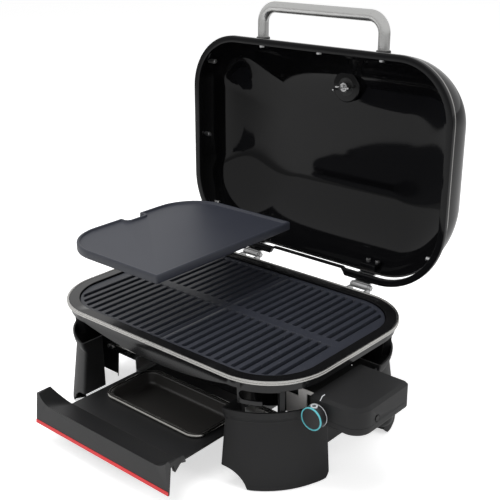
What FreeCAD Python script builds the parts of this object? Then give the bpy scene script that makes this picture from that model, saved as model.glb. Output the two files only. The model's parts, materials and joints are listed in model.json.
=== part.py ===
"""Table-top electric grill: bowl on four curved legs, hinged lid, pull-out drip drawer.

Lengths are in millimetres. While the pieces are made, x = y = 0 is the middle of the bowl's rim,
z = 0 is the table, the front faces -Y and the control box is at +X. At the end every piece is
moved by one vector, so that the origin lies under the middle of the whole grill.
"""
import FreeCAD, Part
import math
import os

V = FreeCAD.Vector
UP = V(0, 0, 1)
TO_BACK = V(0, 1, 0)
TO_RIGHT = V(1, 0, 0)

# Rim and bowl
rim_height = 188.0
rim_length = 550.0
rim_width = 382.0
rim_corner = 110.0
trim_height = 7.0
trim_wall = 4.0
trim_groove = 0.8
seam_clearance = 0.2
flange_thickness = 5.0
flange_drop = 1.0
flange_width = 22.0
apron_height = 13.0
apron_inset = 6.0
apron_front_dip = 18.0
apron_back_drop = 17.0
tab_drop = 24.5
tab_start = -79.0
tab_end = -42.0
slot_drop = 2.0
slot_height = 15.5
slot_mouth = -57.0
casting_wall = 3.0
bowl_depth = 76.0
bowl_slope = 40.0
bowl_shoulder = 15.0
bowl_draft = 3.0
bowl_floor = 4.0
recess_depth = 20.0
ledge_width = 8.0
drain_radius = 12.0
drain_y = -40.0

# Cooking grates
grate_top_drop = 4.0
grate_clearance = 1.2
grate_gap = 1.5
grate_border = 9.0
rib_pitch = 17.6
rib_width = 9.6
middle_band = 22.0
grate_relief = 6.0

# Griddle plate, shown lifted above the left grate
griddle_lift = 93.7
griddle_rest_gap = 0.3
griddle_thickness = 15.0
griddle_overlap = 3.0
griddle_clearance = 3.0
griddle_lip = 6.0
griddle_pocket = 4.0
griddle_relief = 6.0
notch_depth = 18.0
notch_length = 43.5
notch_y = 5.3

# Heating element
element_radius = 3.5
element_height = 44.0
element_bend = 22.0
element_end_gap = 85.0
element_half_width = 105.0
terminal_front_y = -62.0
terminal_back_y = -22.0
clip_width = 8.0

# Legs
leg_inset = 135.0
leg_center_y = 66.0
leg_foot_radius = 140.5
leg_neck_radius = 125.3
leg_mouth_radius = 131.0
leg_mouth_drop = 57.0
leg_flare_height = 19.0
leg_wall = 3.0
leg_front_start = 22.0
leg_side_end_y = 68.0
front_return_depth = 40.0
side_return_depth = 50.0
arch_radius = 44.0
arch_center_drop = 10.0
foot_chamfer = 11.0
foot_shelf = 20.0
pad_thickness = 1.5
pad_radius = 8.0

# Frame between the legs
post_angle = 38.0
post_thickness = 8.0
post_depth = 9.0
post_clearance = 0.2
arm_depth = 12.0
arm_bottom = 56.0
arm_height = 14.0
skirt_bottom = 48.0
skirt_gap = 5.0
frame_screw_radius = 3.5
frame_screw_height = 2.0
shield_inset = 61.0
shield_y = -105.0
shield_drop = 48.0
shield_height = 35.0
shield_sheet = 2.0
shield_tab_width = 16.0
shield_tab_height = 6.0
shield_foot_depth = 17.0

# Drip drawer
tray_width = 259.0
tray_top = 53.0
tray_sheet = 1.5
tray_flange = 2.5
tray_front_y = -252.0
tray_length = 330.0
front_width = 316.0
front_bottom = 31.0
front_face_y = -305.5
front_lean = 4.0
front_crest = 69.5
ear_height = 84.0
ear_lean = 6.5
ear_depth = 27.0
ear_width = 34.0
ear_end_width = 6.0
ear_tip_drop = 20.3
trough_margin = 20.0
back_flange = 10.0
front_sheet = 2.5
stripe_height = 6.0
stripe_thickness = 0.8
pan_length = 228.0
pan_width = 118.0
pan_corner = 26.0
pan_back_y = -83.0
pan_depth = 22.0
pan_sheet = 1.0
pan_rim_radius = 3.0
pan_clearance = 1.0
rail_front_y = -105.0
rail_length = 275.0
rail_sheet = 2.0
rail_clearance = 0.5
rail_lip = 10.0
rail_top = 78.0

# Control box
box_overlap = 7.0
box_length = 93.0
box_front_y = -116.0
box_width = 128.0
box_drop = 28.0
box_height = 45.0
box_base_height = 13.0
box_front_corner = 29.0
box_back_corner = 7.0
box_inner_front_corner = 6.0
box_inner_back_corner = 9.0
box_clearance = 0.3
box_edge = 5.0
box_wall = 2.5
knob_inset = 16.5
knob_drop = 30.0
knob_radius = 18.5
knob_depth = 16.0
knob_ring_depth = 2.5
knob_skirt_depth = 1.5
knob_gap = 1.0
knob_shaft_radius = 3.0
shaft_clearance = 0.05
index_ring_radius = 5.5
index_ring_wall = 2.2
mark_width = 1.5
side_screw_y = 42.0
side_screw_height = 7.0
side_screw_radius = 4.5
side_recess_radius = 6.0
side_recess_depth = 1.0
base_screw_radius = 2.6
screw_head = 0.8
base_screw_inset = 14.0
inlet_radius = 21.0
inlet_height = 24.0
inlet_y = -22.0
inlet_inset = 30.0
neck_above = 8.0
neck_below = 12.0
neck_front_inset = 16.0
neck_back_inset = 4.0

# Hinges
hinge_y = 212.6
hinge_drop = 2.0
lid_swing = 91.3
hinge_x = 130.0
hinge_width = 40.0
hinge_pin_radius = 3.0
knuckle_radius = 6.0
ear_thickness = 3.0
hinge_plate = 2.5
leaf_thickness = 3.0

# Lid
lid_overhang = 12.5
lid_width = 408.0
lid_front_corner = 107.0
lid_back_corner = 130.0
lid_gap = 0.5
lid_ring_height = 10.0
lid_ring_face = 12.0
lid_trim_height = 4.0
lid_trim_inset = 2.0
lid_back_step = 15.0
lid_notch_width = 170.0
dome_rise = 108.0
dome_wall = 3.0
pad_height = 30.0
pad_reach = 17.0

# Lid handle
side_nut_inset = 18.5
side_nut_reach = 30.0
handle_x = 132.5
handle_height = 27.0
handle_reach = 55.5
handle_radius = 10.0
handle_wall = 1.5
handle_bend = 29.0
collar_radius = 12.5
collar_length = 6.0

# Thermometer
gauge_x = 8.0
gauge_y = -119.0
gauge_radius = 27.0
gauge_pad_radius = 29.0
gauge_pad_depth = 14.0
gauge_case_height = 15.0
gauge_neck_radius = 5.0
gauge_stem_radius = 2.0
gauge_stem_length = 44.0
gauge_sweep = 270.0

rim_half_length = rim_length / 2
element_half_length = rim_half_length - element_end_gap
leg_center_x = rim_half_length - leg_inset
leg_front_end_x = leg_center_x + leg_front_start
shield_left_x = rim_half_length - shield_inset
box_left_x = rim_half_length - box_overlap
knob_x = box_left_x + knob_inset
lid_length = rim_length + 2 * lid_overhang
side_nut_x = lid_length / 2 - side_nut_inset
rim_half_width = rim_width / 2
flange_top = rim_height - flange_drop
flange_bottom = flange_top - flange_thickness
opening_length = rim_length - 2 * flange_width
opening_width = rim_width - 2 * flange_width
opening_corner = rim_corner - flange_width
apron_bottom = rim_height - trim_height - apron_height
apron_back_bottom = apron_bottom - apron_back_drop
tab_bottom = apron_bottom - tab_drop
slot_top = apron_bottom - slot_drop
leg_mouth_z = rim_height - leg_mouth_drop
leg_neck_z = leg_mouth_z - leg_flare_height
shield_top = rim_height - shield_drop
recess_floor = rim_height - recess_depth
bowl_bottom = rim_height - bowl_depth
grate_top = rim_height - grate_top_drop
box_right_x = box_left_x + box_length
box_top = rim_height - box_drop
box_bottom = box_top - box_height
box_split = box_bottom + box_base_height
knob_z = box_top - knob_drop
hinge_height = rim_height - hinge_drop
box_back_y = box_front_y + box_width
lid_bottom = rim_height + lid_gap
ring_top = lid_bottom + lid_ring_height
dome_bottom = ring_top + lid_trim_height
tray_back_y = tray_front_y + tray_length
element_z = rim_height - element_height
hinge_axis = V(0, hinge_y, hinge_height)


def cornered_wire(x0, x1, y0, y1, radii, z):
    """Closed wire of a rectangle; radii are front right, back right, back left, front left."""
    fr, br, bl, fl = radii
    h = math.sqrt(0.5)
    corners = [(V(x1 - fr, y0 + fr, z), fr, 1, -1), (V(x1 - br, y1 - br, z), br, 1, 1),
               (V(x0 + bl, y1 - bl, z), bl, -1, 1), (V(x0 + fl, y0 + fl, z), fl, -1, -1)]
    edges = []
    last = V(x0 + fl, y0, z)
    for center, r, sx, sy in corners:
        if sx * sy < 0:
            start, end = center + V(0, sy * r, 0), center + V(sx * r, 0, 0)
        else:
            start, end = center + V(sx * r, 0, 0), center + V(0, sy * r, 0)
        edges.append(Part.makeLine(last, start))
        edges.append(Part.Arc(start, center + V(sx * r * h, sy * r * h, 0), end).toShape())
        last = end
    return Part.Wire(edges)


def rounded_wire(x0, x1, y0, y1, front_radius, back_radius, z):
    """Closed wire of a rectangle whose two front and two back corners have their own radii."""
    radii = (front_radius, back_radius, back_radius, front_radius)
    return cornered_wire(x0, x1, y0, y1, radii, z)


def rounded_prism(length, width, radius, z0, z1, center_x=0.0, center_y=0.0):
    """Upright prism on a rounded rectangle, from height z0 to z1."""
    wire = rounded_wire(center_x - length / 2, center_x + length / 2, center_y - width / 2,
                        center_y + width / 2, radius, radius, z0)
    return Part.Face(wire).extrude(V(0, 0, z1 - z0))


def box_between(x0, x1, y0, y1, z0, z1):
    return Part.makeBox(x1 - x0, y1 - y0, z1 - z0, V(x0, y0, z0))


def side_prism(outline, x0, x1):
    """Prism along X on an outline of (y, z) points."""
    points = [V(x0, y, z) for y, z in outline]
    return Part.Face(Part.makePolygon(points + points[:1])).extrude(V(x1 - x0, 0, 0))


def upright(radius, x, y, z0, z1):
    return Part.makeCylinder(radius, z1 - z0, V(x, y, z0), UP)


def along_y(radius, x, z, y0, y1):
    return Part.makeCylinder(radius, y1 - y0, V(x, y0, z), TO_BACK)


def along_x(radius, y, z, x0, x1):
    return Part.makeCylinder(radius, x1 - x0, V(x0, y, z), TO_RIGHT)


def upright_sector(center, inner, outer, start, end, z0, z1):
    """Part of an upright ring between two angles in degrees, around center (x, y)."""
    x, y = center
    ring = Part.makeCylinder(outer, z1 - z0, V(x, y, z0), UP, end - start)
    ring.rotate(V(x, y, 0), UP, start)
    return ring.cut(upright(inner, x, y, z0, z1))


def hexagon(across, height, base, direction):
    """Hexagonal prism standing on base along direction."""
    radius = across / math.sqrt(3)
    points = [V(radius * math.cos(math.radians(a)), radius * math.sin(math.radians(a)), 0)
              for a in range(0, 361, 60)]
    solid = Part.Face(Part.makePolygon(points)).extrude(V(0, 0, height))
    solid.Placement = FreeCAD.Placement(base, FreeCAD.Rotation(UP, direction))
    return solid


def fused(shapes):
    return shapes[0].multiFuse(shapes[1:]).removeSplitter()


def mirrored_x(shape):
    return shape.mirror(V(0, 0, 0), TO_RIGHT)


def mirrored_y(shape):
    return shape.mirror(V(0, 0, 0), TO_BACK)


def bent_path(points, radius):
    """Wire of straight runs through points, with tangent arcs of one radius at the corners."""
    edges = []
    last = points[0]
    for before, corner, after in zip(points, points[1:], points[2:]):
        back = (before - corner).normalize()
        ahead = (after - corner).normalize()
        half = back.getAngle(ahead) / 2
        start = corner + back * (radius / math.tan(half))
        end = corner + ahead * (radius / math.tan(half))
        middle = corner + (back + ahead).normalize() * (radius / math.sin(half) - radius)
        edges.append(Part.makeLine(last, start))
        edges.append(Part.Arc(start, middle, end).toShape())
        last = end
    edges.append(Part.makeLine(last, points[-1]))
    return Part.Wire(edges)


def rod(points, bend, radius):
    """Round rod along a bent path."""
    path = bent_path(points, bend)
    circle = Part.Wire(Part.makeCircle(radius, points[0], points[1] - points[0]))
    return path.makePipeShell([circle], True, True)


def opened(shape):
    """A lid piece, modelled shut, turned to where it stands when the lid is open."""
    turned = shape.copy()
    turned.rotate(hinge_axis, TO_RIGHT, -lid_swing)
    return turned


# Bowl, rim and grates

def make_bowl():
    """One casting: flat flange, short apron below it, and a tapering well with a drain."""
    reach = rim_length - 2 * trim_wall - 2 * seam_clearance
    depth = rim_width - 2 * trim_wall - 2 * seam_clearance
    corner = rim_corner - trim_wall - seam_clearance
    flange = rounded_prism(reach, depth, corner, flange_bottom, flange_top)
    apron_outer = rounded_prism(rim_length - 2 * apron_inset, rim_width - 2 * apron_inset,
                                rim_corner - apron_inset, apron_bottom, flange_bottom)
    inset = apron_inset + casting_wall
    apron_inner = rounded_prism(rim_length - 2 * inset, rim_width - 2 * inset,
                                rim_corner - inset, apron_bottom, flange_bottom)
    apron = apron_outer.cut(apron_inner)
    half = rim_half_length - rim_corner
    apron_back = box_between(-half, half, rim_half_width - inset, rim_half_width - apron_inset,
                             apron_back_bottom, apron_bottom)
    well = well_outside(0.0).cut(well_inside())
    casting = fused([flange, apron, apron_front(), apron_back, apron_tab(), well])
    casting = casting.cut(rounded_prism(opening_length, opening_width, opening_corner,
                                        recess_floor, flange_top))
    casting = casting.cut(well_inside())
    casting = casting.cut(upright(drain_radius, 0, drain_y, bowl_bottom - 1, bowl_bottom + bowl_floor))
    for y in (terminal_front_y, terminal_back_y):
        casting = casting.cut(along_x(element_radius + seam_clearance, y, element_z, 0, rim_half_length))
    return casting


def well_section(inset, z):
    """Plan outline of the well at one height, drawn in from the rim's opening by inset."""
    half, deep = opening_length / 2 - inset, opening_width / 2 - inset
    corner = opening_corner - inset
    return rounded_wire(-half, half, -deep, deep, corner, corner, z)


def well_outside(grow):
    """Outer body of the well, enlarged by grow: collar, shoulder and slightly tapering tub."""
    out = -casting_wall - grow
    collar_bottom = recess_floor - casting_wall
    collar = Part.Face(well_section(out, collar_bottom)).extrude(V(0, 0, flange_bottom - collar_bottom))
    shoulder_z = collar_bottom - bowl_shoulder
    shoulder = Part.makeLoft([well_section(bowl_slope + out, shoulder_z),
                              well_section(out, collar_bottom)], True, True)
    tub = Part.makeLoft([well_section(bowl_slope + bowl_draft + out, bowl_bottom),
                         well_section(bowl_slope + out, shoulder_z)], True, True)
    return fused([collar, shoulder, tub])


def well_inside():
    """Hollow of the well below the ledge that carries the grates."""
    shoulder_z = recess_floor - bowl_shoulder
    shoulder = Part.makeLoft([well_section(bowl_slope, shoulder_z), well_section(ledge_width, recess_floor)],
                             True, True)
    tub = Part.makeLoft([well_section(bowl_slope + bowl_draft, bowl_bottom + bowl_floor),
                         well_section(bowl_slope, shoulder_z)], True, True)
    return fused([shoulder, tub])


def apron_front():
    """Part of the apron that dips in the middle of the front, its lower edge one long arc."""
    half = rim_half_length - rim_corner
    y = -rim_half_width + apron_inset
    low = Part.Arc(V(-half, y, apron_bottom), V(0, y, apron_bottom - apron_front_dip),
                   V(half, y, apron_bottom))
    top = Part.makeLine(V(half, y, apron_bottom), V(-half, y, apron_bottom))
    return Part.Face(Part.Wire([low.toShape(), top])).extrude(V(0, casting_wall, 0))


def apron_tab():
    """Hooked part of the apron at the front right corner, with a slot open at one end."""
    center = (rim_half_length - rim_corner, -rim_half_width + rim_corner)
    outer = rim_corner - apron_inset
    inner = outer - casting_wall
    tab = upright_sector(center, inner, outer, tab_start, tab_end, tab_bottom, apron_bottom)
    slot_bottom = slot_top - slot_height
    end_radius = slot_height / 2
    end_angle = tab_start + math.degrees((casting_wall + end_radius) / outer)
    slot = upright_sector(center, inner - 1, outer + 1, end_angle, tab_end + 1, slot_bottom, slot_top)
    mouth = upright_sector(center, inner - 1, outer + 1, slot_mouth, tab_end + 1, tab_bottom - 1, slot_top)
    end = Part.makeCylinder(end_radius, outer + 1, V(0, 0, 0), TO_RIGHT)
    end.Placement = FreeCAD.Placement(V(center[0], center[1], slot_bottom + end_radius),
                                      FreeCAD.Rotation(UP, end_angle))
    return tab.cut(slot).cut(mouth).cut(end)


def make_rim_trim():
    """Rolled bright band around the flange, with a groove that makes it a double bead."""
    z0 = rim_height - trim_height
    inner = rounded_prism(rim_length - 2 * trim_wall, rim_width - 2 * trim_wall,
                          rim_corner - trim_wall, z0, rim_height)
    band = rounded_prism(rim_length, rim_width, rim_corner, z0, rim_height).cut(inner)
    band = band.makeFillet(trim_groove, long_edges(band, rim_half_length))
    outside = rounded_prism(rim_length + 2, rim_width + 2, rim_corner + 1,
                            z0 + trim_height / 2 - trim_groove / 2, z0 + trim_height / 2 + trim_groove / 2)
    inside = rounded_prism(rim_length - 2 * trim_groove, rim_width - 2 * trim_groove,
                           rim_corner - trim_groove, z0, rim_height)
    return band.cut(outside.cut(inside))


def long_edges(shape, half_length):
    """Edges of a level ring that lie on its outer outline."""
    found = []
    for edge in shape.Edges:
        middle = edge.valueAt((edge.FirstParameter + edge.LastParameter) / 2)
        level = edge.BoundBox.ZLength < 0.01
        outline = on_outline(middle, half_length)
        if level and outline:
            found.append(edge)
    return found


def on_outline(point, half_length):
    """True where a point lies on the rim's outer rounded rectangle."""
    half_width = half_length - rim_half_length + rim_half_width
    dx = max(abs(point.x) - (half_length - rim_corner), 0)
    dy = max(abs(point.y) - (half_width - rim_corner), 0)
    return abs(math.hypot(dx, dy) - rim_corner) < 0.01


def make_grate(side):
    """Half of the cooking surface: a bordered casting with ribs from front to back."""
    length = opening_length - 2 * grate_clearance
    width = opening_width - 2 * grate_clearance
    corner = opening_corner - grate_clearance
    low = recess_floor
    whole = rounded_prism(length, width, corner, low, grate_top)
    inner = rounded_prism(length - 2 * grate_border, width - 2 * grate_border,
                          corner - grate_border, low - 1, grate_top + 1)
    half_slot = (width / 2 - grate_border) - middle_band / 2
    slots = []
    slot_width = rib_pitch - rib_width
    count = int((length / 2 - grate_border) // rib_pitch)
    for i in range(count):
        x = side * (grate_gap / 2 + grate_border + i * rib_pitch + slot_width / 2)
        for y in (-middle_band / 2 - half_slot, middle_band / 2):
            slots.append(box_between(x - slot_width / 2, x + slot_width / 2, y, y + half_slot,
                                     low - 1, grate_top + 1))
    cutter = Part.makeCompound(slots).common(inner)
    edge = grate_gap / 2
    keep = box_between(edge, length, -width, width, low - 1, grate_top + 1)
    relief = inner.common(box_between(edge + grate_border, length, -width, width, low - 1,
                                      low + grate_relief))
    if side < 0:
        keep = mirrored_x(keep)
        relief = mirrored_x(relief)
    return whole.common(keep).cut(cutter).cut(relief)


def make_griddle():
    """Smooth plate over the left grate, with a raised lip and a finger notch in its left edge."""
    left = -opening_length / 2 + griddle_clearance
    front = -opening_width / 2 + griddle_clearance
    corner = opening_corner - griddle_clearance
    z0 = grate_top + griddle_rest_gap + griddle_lift
    z1 = z0 + griddle_thickness
    outline = rounded_prism(-2 * left, -2 * front, corner, z0, z1)
    keep = box_between(left - 1, griddle_overlap, front, -front, z0, z1)
    reach = -2 * left
    plate = outline.fuse(box_between(-griddle_overlap, griddle_overlap, front, -front, z0, z1))
    plate = plate.common(keep)
    pocket = rounded_prism(reach - 2 * griddle_lip, -2 * (front + griddle_lip), corner - griddle_lip,
                           z1 - griddle_pocket, z1)
    pocket = pocket.common(box_between(left, griddle_overlap - griddle_lip, front, -front, z0, z1))
    plate = plate.cut(pocket)
    notch = rounded_prism(2 * notch_depth, notch_length, notch_depth / 3, z0, z1, left, notch_y)
    wall = rounded_prism(2 * (notch_depth + griddle_lip), notch_length + 2 * griddle_lip,
                         notch_depth / 3 + griddle_lip, z0, z1, left, notch_y)
    wall = wall.common(outline)
    relief = rounded_prism(reach - 2 * griddle_lip, -2 * (front + griddle_lip), corner - griddle_lip,
                           z0, z0 + griddle_relief)
    relief = relief.common(box_between(left, griddle_overlap - griddle_lip, front, -front, z0, z1))
    return plate.cut(relief).fuse(wall).cut(notch).removeSplitter()


def make_heating_element():
    """Tubular element bent into one loop, with both ends through the right wall."""
    end_x = box_left_x + 4 * box_wall
    far = element_half_length
    wide = element_half_width
    inner = far - 3 * element_bend
    z = element_z
    points = [V(end_x, terminal_front_y, z), V(far, terminal_front_y, z), V(far, -wide, z),
              V(-far, -wide, z), V(-far, wide, z), V(far, wide, z), V(far, wide / 3, z),
              V(-inner, wide / 3, z), V(-inner, terminal_back_y, z), V(end_x, terminal_back_y, z)]
    return rod(points, min(element_bend, wide / 6), element_radius)


def make_element_clips():
    """Small stands that carry the element over the floor of the well."""
    top = element_z - element_radius
    places = [(-element_half_length / 2, -element_half_width), (element_half_length / 2, -element_half_width),
              (-element_half_length / 2, element_half_width), (element_half_length / 2, element_half_width),
              (0, element_half_width / 3)]
    stands = []
    for x, y in places:
        stands.append(box_between(x - clip_width / 2, x + clip_width / 2, y - clip_width / 2,
                                  y + clip_width / 2, bowl_bottom + bowl_floor, top))
    return Part.makeCompound(stands)


# Legs and cradle

def leg_body(inset):
    """Round body of one leg, smaller by inset: narrowing from the foot, flared at its open mouth."""
    foot = leg_foot_radius - inset
    neck = leg_neck_radius - inset
    mouth = leg_mouth_radius - inset
    flare = Part.Arc(V(neck, 0, leg_neck_z),
                     V(neck + 0.68 * (mouth - neck), 0, leg_neck_z + 0.42 * leg_flare_height),
                     V(mouth, 0, leg_mouth_z))
    edges = [Part.makeLine(V(0, 0, 0), V(foot, 0, 0)), Part.makeLine(V(foot, 0, 0), V(neck, 0, leg_neck_z)),
             flare.toShape(), Part.makeLine(V(mouth, 0, leg_mouth_z), V(0, 0, leg_mouth_z)),
             Part.makeLine(V(0, 0, leg_mouth_z), V(0, 0, 0))]
    body = Part.Face(Part.Wire(edges)).revolve(V(0, 0, 0), UP, 360)
    body.translate(V(leg_center_x, -leg_center_y, 0))
    return body


def make_front_right_leg():
    """Quarter shell with a turned-in edge at each end, an arch in front and a shelf at the foot."""
    outside = leg_body(0.0)
    inside = leg_body(leg_wall)
    top = leg_mouth_z
    far = leg_center_x + leg_foot_radius + 1
    front = -leg_center_y - leg_foot_radius - 1
    quarter = box_between(leg_front_end_x, far, front, -leg_side_end_y, pad_thickness, top)
    shell = outside.cut(inside).common(quarter)
    front_y = -leg_center_y - leg_neck_radius
    front_return = box_between(leg_front_end_x, leg_front_end_x + leg_wall, front,
                               front_y + front_return_depth, pad_thickness, top).common(outside)
    side_x = leg_center_x + leg_neck_radius
    side_return = box_between(side_x - side_return_depth, far, -leg_side_end_y - leg_wall,
                              -leg_side_end_y, pad_thickness, top).common(outside)
    shelf_inside = upright(leg_foot_radius - leg_wall - foot_shelf, leg_center_x, -leg_center_y,
                           pad_thickness, pad_thickness + leg_wall)
    shelf = inside.common(quarter).common(box_between(0, far, front, 0, pad_thickness,
                                                      pad_thickness + leg_wall)).cut(shelf_inside)
    leg = fused([shell, front_return, side_return, shelf])
    arch = along_y(arch_radius, leg_front_end_x + leg_wall, -arch_center_drop, front, -leg_side_end_y)
    arch = arch.common(box_between(0, far, front, -leg_center_y - leg_neck_radius / 2, -arch_radius, top))
    chamfer = side_prism([(-leg_side_end_y - foot_chamfer, 0), (-leg_side_end_y + 1, 0),
                          (-leg_side_end_y + 1, foot_chamfer + 1)], side_x - side_return_depth - 1, far)
    return leg.cut(arch).cut(chamfer)


def pad_places():
    """Middles of the two pads under each leg, on the line of its foot shelf."""
    radius = leg_foot_radius - leg_wall - foot_shelf / 2
    places = []
    for degrees in (-50, -16):
        x = leg_center_x + radius * math.cos(math.radians(degrees))
        y = -leg_center_y + radius * math.sin(math.radians(degrees))
        places += [(sx * x, sy * y) for sx in (-1, 1) for sy in (-1, 1)]
    return places


def make_foot_pads():
    """Eight soft pads on which the grill stands."""
    return Part.makeCompound([upright(pad_radius, x, y, 0, pad_thickness) for x, y in pad_places()])


def apron_inside_radius(reach):
    """Distance from a leg's middle, towards its post, to the inside of the apron's corner."""
    dx = rim_half_length - rim_corner - leg_center_x
    dy = rim_half_width - rim_corner - leg_center_y
    angle = math.radians(post_angle)
    along = dx * math.cos(angle) + dy * math.sin(angle)
    return along + math.sqrt(along ** 2 - dx ** 2 - dy ** 2 + reach ** 2)


def make_bowl_posts():
    """Four upright plates, one per leg, that hold the bowl's apron above the legs."""
    sheet = leg_wall + post_clearance
    neck = leg_neck_radius - sheet
    mouth = leg_mouth_radius - sheet
    apron = apron_inside_radius(rim_corner - apron_inset - casting_wall - post_clearance)
    top = flange_bottom - post_clearance
    outline = [(neck, leg_neck_z), (mouth, leg_mouth_z), (apron, apron_bottom), (apron, top),
               (apron - post_depth, top), (apron - post_depth, apron_bottom),
               (neck - post_depth, leg_neck_z)]
    points = [V(r, -post_thickness / 2, z) for r, z in outline]
    post = Part.Face(Part.makePolygon(points + points[:1])).extrude(V(0, post_thickness, 0))
    post.Placement = FreeCAD.Placement(V(leg_center_x, -leg_center_y, 0),
                                       FreeCAD.Rotation(UP, -post_angle))
    inset = apron_inset + casting_wall + post_clearance
    post = post.common(rounded_prism(rim_length - 2 * inset, rim_width - 2 * inset,
                                     rim_corner - inset, 0, rim_height))
    post = post.cut(well_outside(post_clearance))
    return Part.makeCompound([post, mirrored_x(post), mirrored_y(post), mirrored_x(mirrored_y(post))])


def side_edge_x():
    """Where the legs' turned-in side edges start."""
    return leg_center_x + leg_neck_radius - side_return_depth


def rail_outside():
    """Distance of the drawer rails' outer faces from the middle."""
    return tray_width / 2 + rail_clearance + rail_sheet


def make_rail_arms():
    """Four flat bars from the legs' turned-in side edges to the drawer rails."""
    x0 = rail_outside()
    x1 = side_edge_x() + 20
    y0 = leg_side_end_y + leg_wall
    arm = box_between(x0, x1, y0, y0 + arm_depth, arm_bottom, arm_bottom + arm_height)
    return Part.makeCompound([arm, mirrored_x(arm), mirrored_y(arm), mirrored_x(mirrored_y(arm))])


def make_frame_screws():
    """Screw heads that fasten the arms to the legs, two on each arm."""
    z = arm_bottom + arm_height / 2
    y0 = leg_side_end_y + leg_wall + arm_depth
    heads = []
    for x in (side_edge_x() + 6, side_edge_x() + 15):
        head = along_y(frame_screw_radius, x, z, y0, y0 + frame_screw_height)
        heads += [head, mirrored_x(head), mirrored_y(head), mirrored_x(mirrored_y(head))]
    return Part.makeCompound(heads)


def make_side_skirt():
    """Right skirt that closes the side between the front and rear legs."""
    x1 = leg_center_x + leg_neck_radius
    return box_between(x1 - leg_wall, x1, -leg_side_end_y, leg_side_end_y, skirt_bottom,
                       leg_mouth_z - skirt_gap)


def make_shield_plate():
    """Bright plate that shades the knob from the bowl, with a tab to the control box."""
    y1 = shield_y + shield_sheet
    right_x = leg_center_x + math.sqrt((leg_neck_radius - leg_wall) ** 2
                                       - (leg_center_y + shield_y) ** 2) - 1
    left_x = right_x - shield_tab_width
    tab_top = box_top - box_edge
    plate = box_between(shield_left_x, right_x, shield_y, y1, shield_top - shield_height, shield_top)
    neck = box_between(left_x, right_x, shield_y, y1, shield_top, tab_top)
    tab = box_between(left_x, box_left_x, shield_y, y1, tab_top - shield_tab_height, tab_top)
    return fused([plate, neck, tab])


def make_shield_foot():
    """Dark angle that carries the inner end of the bright plate."""
    x0 = shield_left_x - shield_sheet
    x1 = shield_left_x + shield_sheet
    return box_between(x0, x1, shield_y - shield_foot_depth, shield_y,
                       shield_top - shield_height, shield_top + shield_sheet)


def make_drawer_rail(side):
    """Folded channel that guides one edge of the tray above and below."""
    inner = tray_width / 2 + rail_clearance
    outer = rail_outside()
    y0 = rail_front_y
    y1 = rail_front_y + rail_length
    floor = tray_top - tray_sheet - tray_flange - rail_clearance
    roof = tray_top + rail_clearance
    lower = box_between(inner - rail_lip, outer, y0, y1, floor - rail_sheet, floor)
    upper = box_between(inner - rail_lip, outer, y0, y1, roof, roof + rail_sheet)
    wall = box_between(inner, outer, y0, y1, floor - rail_sheet, rail_top)
    rail = fused([lower, wall, upper])
    return rail if side > 0 else mirrored_x(rail)


# Drip drawer

def make_drawer_tray():
    """Flat sheet with turned-down edges and an opening that the drip pan hangs in."""
    half = tray_width / 2
    deck = box_between(-half, half, tray_front_y, tray_back_y, tray_top - tray_sheet, tray_top)
    edges = [deck]
    for x0 in (-half, half - tray_sheet):
        edges.append(box_between(x0, x0 + tray_sheet, tray_front_y, tray_back_y,
                                 tray_top - tray_sheet - tray_flange, tray_top))
    opening = pan_prism(-2 * pan_rim_radius + pan_clearance, tray_top - 2 * tray_flange, tray_top + 1)
    return fused(edges).cut(opening)


def pan_center_y():
    return pan_back_y - pan_width / 2


def pan_prism(grow, z0, z1):
    """Prism on the drip pan's outline, its sides moved out by grow."""
    return rounded_prism(pan_length + 2 * grow, pan_width + 2 * grow, pan_corner + grow, z0, z1,
                         0.0, pan_center_y())


def make_drip_pan():
    """Pressed pan with a rolled rim that rests on the tray."""
    r = pan_rim_radius
    z = tray_top + r
    wall_grow = -2 * r
    outside = pan_prism(wall_grow, z - pan_depth, z)
    inside = pan_prism(wall_grow - pan_sheet, z - pan_depth + pan_sheet, z)
    shell = outside.cut(inside)
    bead = pan_prism(0, z - r, z + r).cut(pan_prism(-2 * r - pan_sheet / 2, z - r, z + r))
    round_edges = [e for e in bead.Edges if e.BoundBox.ZLength < 0.01]
    bead = bead.makeFillet(r * 0.8, round_edges)
    return fused([shell, bead])


def front_outline(inset):
    """Side view of the drawer front as (y, z) points, its face moved inwards by inset."""
    foot = front_face_y + inset
    top = front_face_y + ear_lean + inset
    back = front_face_y + ear_lean + ear_depth
    return [(foot, front_bottom), (top, ear_height), (back, ear_height), (tray_front_y, tray_top),
            (tray_front_y, front_bottom)]


def ear_end_outline():
    """Side view of the closed end of an ear: a short tip hangs just behind the face."""
    y, z, drop = front_face_y, ear_height, ear_tip_drop
    return [(y + ear_lean, z), (y + ear_lean + 1, z - 0.4 * drop), (y + 0.5 * ear_depth, z - 0.4 * drop),
            (y + 0.6 * ear_depth, z - drop), (y + 0.97 * ear_depth, z - 0.57 * drop),
            (y + 1.4 * ear_depth, z - 0.26 * drop), (y + ear_lean + ear_depth, z)]


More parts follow.
